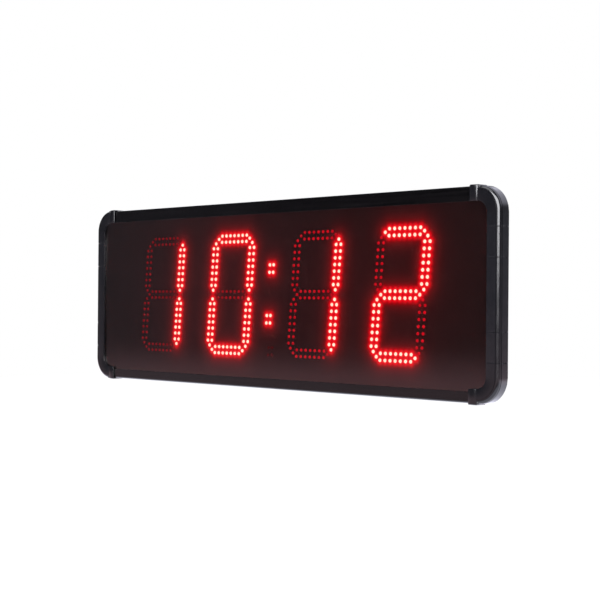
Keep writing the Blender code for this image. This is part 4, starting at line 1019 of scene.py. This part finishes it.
def rounded_box(low, high, edge):
    """A box with its upright edges rounded, and the others broken."""
    corners = ((1, 1, 0), (-1, 1, 90), (-1, -1, 180), (1, -1, 270))
    rings = []
    for z, shrink in (
        (low[2], edge),
        (low[2] + edge, 0.0),
        (high[2] - edge, 0.0),
        (high[2], edge),
    ):
        ring = []
        for sx, sy, start in corners:
            x = high[0] if sx > 0 else low[0]
            y = high[1] if sy > 0 else low[1]
            centre = (x - sx * edge, y - sy * edge)
            cut_x, cut_y = sx * shrink * BOX_CORNER_SHARE, sy * shrink * BOX_CORNER_SHARE
            for px, py in arc(centre, edge, start, start + 90, BOX_EDGE_STEPS):
                ring.append((px - cut_x, py - cut_y, z))
        rings.append(ring)
    return Solid().loft(rings)


def build_board(name, node, board_y):
    """The bare board, behind this Y."""
    low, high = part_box(node)
    shape = rounded_box((low.x, board_y, low.z), high, BOARD_EDGE * MM)
    piece(name, shape, BLACK_BOARD, "display", (node,))


def build_display():
    """The digits, the colon and the point with their boards, then the mask round them."""
    rng = np.random.default_rng(LEVEL_SEED)
    segments = segment_leds()
    tip_y = LEFT_BOARD[0].y
    board_y = LEFT_BOARD[1].y - BOARD_THICKNESS
    all_lit = []
    for digit in range(4):
        node = f"digit_board_{digit + 1}"
        centre_x = middle(node)[0]
        lit, unlit = [], []
        for name, leds in segments.items():
            chosen = lit if name in LIT_SEGMENTS[digit] else unlit
            chosen.extend(place_led(centre_x, u, v) for u, v in leds)
        all_lit.extend(lit)
        levels = rng.uniform(*LIT_SPREAD, len(lit))
        build_leds(f"digit_{digit + 1}_lit_leds", lit, levels, LIT, tip_y, board_y)
        # The unlit LEDs' painted glow, one level to each digit
        levels = UNLIT_PAINTED_GLOW[digit] * rng.uniform(*UNLIT_SPREAD, len(unlit))
        build_leds(f"digit_{digit + 1}_unlit_leds", unlit, levels, UNLIT, tip_y, board_y)
        build_board(f"digit_{digit + 1}_board", node, board_y)
    centre_x = middle("colon_board")[0]
    colon = [place_led(centre_x, u, v) for centre in COLON_CENTRES for u, v in cluster(centre)]
    all_lit.extend(colon)
    levels = rng.uniform(*COLON_SPREAD, len(colon))
    build_leds("colon_lit_leds", colon, levels, LIT, tip_y, board_y)
    point = [place_led(centre_x, u, v) for u, v in cluster(POINT_CENTRE)]
    # The point's LEDs are unlit, with a faint painted glow
    levels = rng.uniform(*POINT_PAINTED_GLOW, len(point))
    build_leds("point_unlit_leds", point, levels, UNLIT, tip_y, board_y)
    build_board("colon_board_detail", "colon_board", board_y)
    build_plate(np.array(all_lit))


def build_plate(lit):
    """The black mask that the LED tips stand out of, on a fine grid that holds the glow."""
    node = "face_plate"
    low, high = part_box(node)
    step = PITCH / MASK_CELLS
    xs = np.linspace(low.x, high.x, round((high.x - low.x) / step) + 1)
    zs = np.linspace(low.z, high.z, round((high.z - low.z) / step) + 1)
    x, z = np.meshgrid(xs, zs, indexing="ij")
    points = np.stack([x.ravel(), z.ravel()], axis=1)
    nearest = np.full(len(points), np.inf)
    far = np.zeros(len(points))
    for led in lit:
        away = np.hypot(points[:, 0] - led[0], points[:, 1] - led[1]) / PITCH
        nearest = np.minimum(nearest, away)
        far += FAR_GLOW * np.exp(-away / FAR_REACH)
    near = NEAR_GLOW / (1 + np.exp((nearest - NEAR_EDGE) / NEAR_SOFTNESS))
    near += HALO_GLOW * np.exp(-nearest / HALO_REACH)
    verts = np.stack([points[:, 0], np.full(len(points), low.y), points[:, 1]], axis=1)
    nx, nz = len(xs), len(zs)
    i, j = np.meshgrid(np.arange(nx - 1), np.arange(nz - 1), indexing="ij")
    base = (i * nz + j).ravel()
    faces = [tuple(f) for f in np.stack([base, base + nz, base + nz + 1, base + 1], axis=1)]
    # The rim's vertices again at the plate's back, in order round the sheet
    rim = [i * nz for i in range(nx)] + [(nx - 1) * nz + j for j in range(1, nz)]
    rim += [i * nz + nz - 1 for i in range(nx - 2, -1, -1)] + list(range(nz - 2, 0, -1))
    back = [len(verts) + i for i in range(len(rim))]
    verts = np.concatenate([verts, verts[rim] + np.array((0.0, high.y - low.y, 0.0))])
    for i in range(len(rim)):
        j = (i + 1) % len(rim)
        faces.append((rim[i], rim[j], back[j], back[i]))
    faces.append(tuple(reversed(back)))
    blank = np.zeros(len(rim))
    attributes = {
        "near_glow": np.concatenate([near, blank]),
        "far_glow": np.concatenate([far, blank]),
    }
    shape = Solid(verts, faces)
    piece("led_mask", shape, PLATE, "display", (node,), attributes=attributes)


# Rear, bottom and inner parts


def keep(node, surface, edge, segments=2):
    """A CAD node shown as it is, with its edges broken and a finished surface."""
    obj = NODES[node]
    obj.data.materials.clear()
    obj.data.materials.append(surface.material)
    weld = obj.modifiers.new("Weld", "WELD")
    weld.merge_threshold = MERGE_DISTANCE
    if edge:
        bevel = obj.modifiers.new("Edges", "BEVEL")
        bevel.width = edge * MM
        bevel.segments = segments
        bevel.limit_method = "ANGLE"
        bevel.angle_limit = math.radians(BREAK_ABOVE)
        bevel.use_clamp_overlap = True
        bevel.harden_normals = True


def screw_mesh():
    """A pan head with a shank, pointing to +Y from its seat at the origin."""
    profile = [
        (SHANK_RADIUS * SHANK_TIP, SHANK_END),
        (SHANK_RADIUS, SHANK_TAPER),
        (SHANK_RADIUS, GAP),
        (HEAD_RADIUS, GAP),
    ]
    for turn in quarter(HEAD_STEPS)[:-1]:
        radius = HEAD_RADIUS * (HEAD_CROWN + (1 - HEAD_CROWN) * math.cos(turn))
        height = HEAD_HEIGHT * (HEAD_SIDE + (1 - HEAD_SIDE) * math.sin(turn))
        profile.append((radius, GAP + height))
    profile.append((HEAD_RADIUS * HEAD_FLAT, HEAD_TOP))
    rings = [(radius * MM, height * MM) for radius, height in profile]
    return Solid().lathe((0, 0, 0), rings, "Y", SCREW_SIDES)


def recess_arm(along_x):
    """One arm of the cross recess, narrower at its floor."""
    rings = []
    for height, share in RECESS_ROWS:
        a, b = RECESS_HALF_LENGTH * share * MM, RECESS_HALF_WIDTH * MM
        if not along_x:
            a, b = b, a
        y = (HEAD_TOP + height) * MM
        rings.append([(-a, y, -b), (a, y, -b), (a, y, b), (-a, y, b)])
    return Solid().loft(rings)


def build_screws():
    """The first screw is cut to shape, and the others share its mesh."""
    template = screw_mesh()
    first = None
    for node in sorted(NODES):
        if not (node.endswith("_screw") or node.startswith("housing_screw_")):
            continue
        low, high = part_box(node)
        name = f"{node}_detail"
        if first is None:
            smooth = SCREW_SMOOTH_BELOW
            made = piece(name, template, SCREW, "display", (node,), smooth)
            cut(made, recess_arm(True))
            cut(made, recess_arm(False))
            first = made
        else:
            made = add_object(name, first.data)
            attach(made, "display")
            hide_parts(node)
        x, _, z = middle(node)
        made.location = (x, high.y - HEAD_TOP * MM, z)
        phase = SCREW_TURN_RATES[0] * low.x + SCREW_TURN_RATES[1] * low.z
        made.rotation_euler = (0.0, SCREW_TURN * math.sin(phase), 0.0)


def build_buttons():
    """Dished push buttons, each a turned cap with a flange and a stem."""
    seat = CAP_WALL + GAP - BUTTON_RECESS
    for node in BUTTONS:
        low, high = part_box(node)
        x, y, _ = middle(node)
        flange = (high.x - low.x) / 2 / MM
        profile = [(BUTTON_RADIUS * share, height) for share, height in BUTTON_DISH]
        for turn in quarter(BUTTON_EDGE_STEPS):
            radius = BUTTON_RADIUS - BUTTON_EDGE * (1 - math.sin(turn))
            profile.append((radius, BUTTON_EDGE * (1 - math.cos(turn))))
        profile += [
            (BUTTON_RADIUS, seat),
            (flange, seat),
            (flange, seat + BUTTON_FLANGE),
            (BUTTON_STEM_RADIUS, seat + BUTTON_FLANGE),
            (BUTTON_STEM_RADIUS, (high.z - low.z) / MM),
        ]
        rings = [(radius * MM, height * MM) for radius, height in profile]
        shape = Solid().lathe((x, y, low.z), rings, "Z", BUTTON_SIDES)
        red = node == "start_button"
        slot, surface = ("button_red", RED_PLASTIC) if red else ("black_plastic", PLASTIC)
        piece(f"{node}_cap", shape, surface, f"{node}_body", (node,))


def build_receiver():
    """The infrared receiver: a block with a domed lens in front."""
    node = "remote_receiver"
    low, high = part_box(node)
    body = (low.x, low.y + RECEIVER_BODY_SETBACK * MM, low.z)
    shape = rounded_box(body, high, RECEIVER_EDGE * MM)
    radius = RECEIVER_LENS_RADIUS * MM
    profile = []
    for degrees in RECEIVER_LENS_ANGLES:
        turn = math.radians(degrees)
        profile.append((radius * math.sin(turn), low.y + radius * (1 - math.cos(turn))))
    profile.append((radius, low.y + RECEIVER_LENS_DEPTH * MM))
    x, _, z = middle(node)
    shape.lathe((x, 0.0, z), profile, "Y", LENS_SIDES)
    name = f"{node}_lens"
    piece(name, shape, PLASTIC, "display", (node,))


def build_inlet_pins():
    """Nickel blades over the inlet's plain pins."""
    middle_x, middle_y, _ = middle("power_inlet")
    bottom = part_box("power_inlet")[0].z
    shape = Solid()
    for dx, dy in PIN_PLACES:
        x, y = middle_x + dx * MM, middle_y + dy * MM
        rings = []
        for height, half_x, half_y in PIN_SECTIONS:
            a, b, z = half_x * MM, half_y * MM, bottom + height * MM
            corners = ((-a, -b), (a, -b), (a, b), (-a, b))
            rings.append([(x + cx, y + cy, z) for cx, cy in corners])
        shape.loft(rings)
    piece("inlet_pins", shape, NICKEL, "display")


def build_rest():
    """The CAD nodes that stay, each with the width of its broken edges in millimetres."""
    keep("power_rocker", PLASTIC, 0.4, 3)
    for surface, rows in (
        (FILTER, (("front_filter", 0.0),)),
        (FOAM, (("filter_gasket", 0.0),)),
        (SHEET, (("rear_panel", 0.4), ("rear_housing", 0.35))),
        (ZINC, (("wall_bracket", 0.35),)),
        (
            PLASTIC,
            (
                ("power_inlet", 0.3),
                ("switch_body", 0.3),
                ("button_guide", 0.15),
                ("control_carrier", 0.3),
                ("terminal_block", 0.2),
                ("sounder", 0.3),
            ),
        ),
        (ALUMINIUM, (("supply_case", 0.3), ("upper_board_rail", 0.3), ("lower_board_rail", 0.3))),
        (BUTTON_GREEN, (("button_board", 0.1),)),
        (SUPPLY_GREEN, (("supply_board", 0.2),)),
        (CONTROL_GREEN, (("control_board", 0.15),)),
        (NICKEL, (("backup_battery", 0.3),)),
        (RIBBON, (("display_ribbon", 0.0),)),
        (CABLE, (("mains_lead", 0.0), ("power_lead", 0.0))),
    ):
        for node, edge in rows:
            keep(node, surface, edge)


# Studio


def area_light(name, azimuth, elevation, distance, size, radiance):
    """A soft box that faces the object from this azimuth, counted from the front to the right."""
    a, e = math.radians(azimuth), math.radians(elevation)
    away = Vector((math.sin(a) * math.cos(e), -math.cos(a) * math.cos(e), math.sin(e)))
    data = bpy.data.lights.new(name, "AREA")
    data.shape = "RECTANGLE"
    data.size, data.size_y = size
    data.energy = radiance * math.pi * size[0] * size[1]
    data.color = LAMP_COLOUR
    lamp = add_object(name, data)
    lamp.location = away * distance
    lamp.rotation_euler = (-away).to_track_quat("-Z", "Y").to_euler()
    lamp.visible_camera = False


def build_world():
    """White backdrop; reflections see a darker room with a bright floor and ceiling."""
    world = bpy.data.worlds.new("studio")
    world.use_nodes = True
    bpy.context.scene.world = world
    world.cycles.sampling_method = "NONE"
    world.node_tree.nodes.clear()
    graph = Graph(world.node_tree)
    path = graph.add("LightPath").outputs
    direction = graph.add("TexCoord").outputs["Generated"]
    axes = graph.add("SeparateXYZ", _0=direction).outputs
    smooth = {"interpolation_type": "SMOOTHSTEP"}
    total = (0.0, 0.0, 0.0)
    for colour, share, bands in ROOM:
        for axis, dark, bright in bands:
            band = graph.add("MapRange", smooth, _0=axes[axis], _1=dark, _2=bright, _4=share)
            share = band.outputs[0]
        tinted = graph.add("VectorMath", {"operation": "SCALE"}, _0=colour, Scale=share)
        total = graph.add("VectorMath", _0=total, _1=tinted.outputs[0]).outputs[0]
    white = (1.0, 1.0, 1.0, 1.0)
    mirrored = graph.add("Background", Color=total).outputs[0]
    soft = graph.add("Background", Color=white, Strength=BACKDROP_LIGHT).outputs[0]
    seen = graph.add("Background", Color=white).outputs[0]
    glossy, through = path["Is Glossy Ray"], path["Is Transmission Ray"]
    either = graph.add("Math", {"operation": "MAXIMUM"}, _0=glossy, _1=through).outputs[0]
    hidden = graph.add("MixShader", _0=either, _1=soft, _2=mirrored).outputs[0]
    whole = graph.add("MixShader", _0=path["Is Camera Ray"], _1=hidden, _2=seen).outputs[0]
    graph.add("OutputWorld", Surface=whole)


def build_floor():
    """A pale floor that reflections don't see."""
    z = CAD_BOX[0].z - FLOOR_DROP
    reach = FLOOR_REACH
    mesh = bpy.data.meshes.new("floor")
    corners = [(-reach, -reach, z), (reach, -reach, z), (reach, reach, z), (-reach, reach, z)]
    mesh.from_pydata(corners, [], [(0, 1, 2, 3)])
    floor = add_object("floor", mesh)
    pale = Surface("floor_pale", 0.9)
    pale.link(pale.blend(pale.noise(3.0), (0.90, 0.90, 0.90), (0.93, 0.93, 0.93)), "Base Color")
    pale.shader.inputs["Specular IOR Level"].default_value = 0.0
    mesh.materials.append(pale.material)
    floor.visible_glossy = False
    floor.visible_transmission = False


def build_camera():
    data = bpy.data.cameras.new("camera")
    data.lens = CAMERA_LENS
    data.sensor_width = CAMERA_SENSOR
    data.clip_start, data.clip_end = CAMERA_RANGE
    camera = add_object("camera", data)
    forward = Vector(CAMERA_FORWARD).normalized()
    right = forward.cross(Vector(CAMERA_UP)).normalized()
    up = right.cross(forward)
    turn = Matrix((right, up, -forward)).transposed()
    camera.matrix_world = Matrix.Translation(CAMERA_PLACE) @ turn.to_4x4()
    bpy.context.scene.camera = camera


def main():
    bpy.context.scene.view_settings.view_transform = "Standard"
    build_frame()
    build_display()
    build_screws()
    build_buttons()
    build_receiver()
    build_inlet_pins()
    build_rest()
    build_world()
    for lamp in LAMPS:
        area_light(*lamp)
    build_floor()
    build_camera()


main()
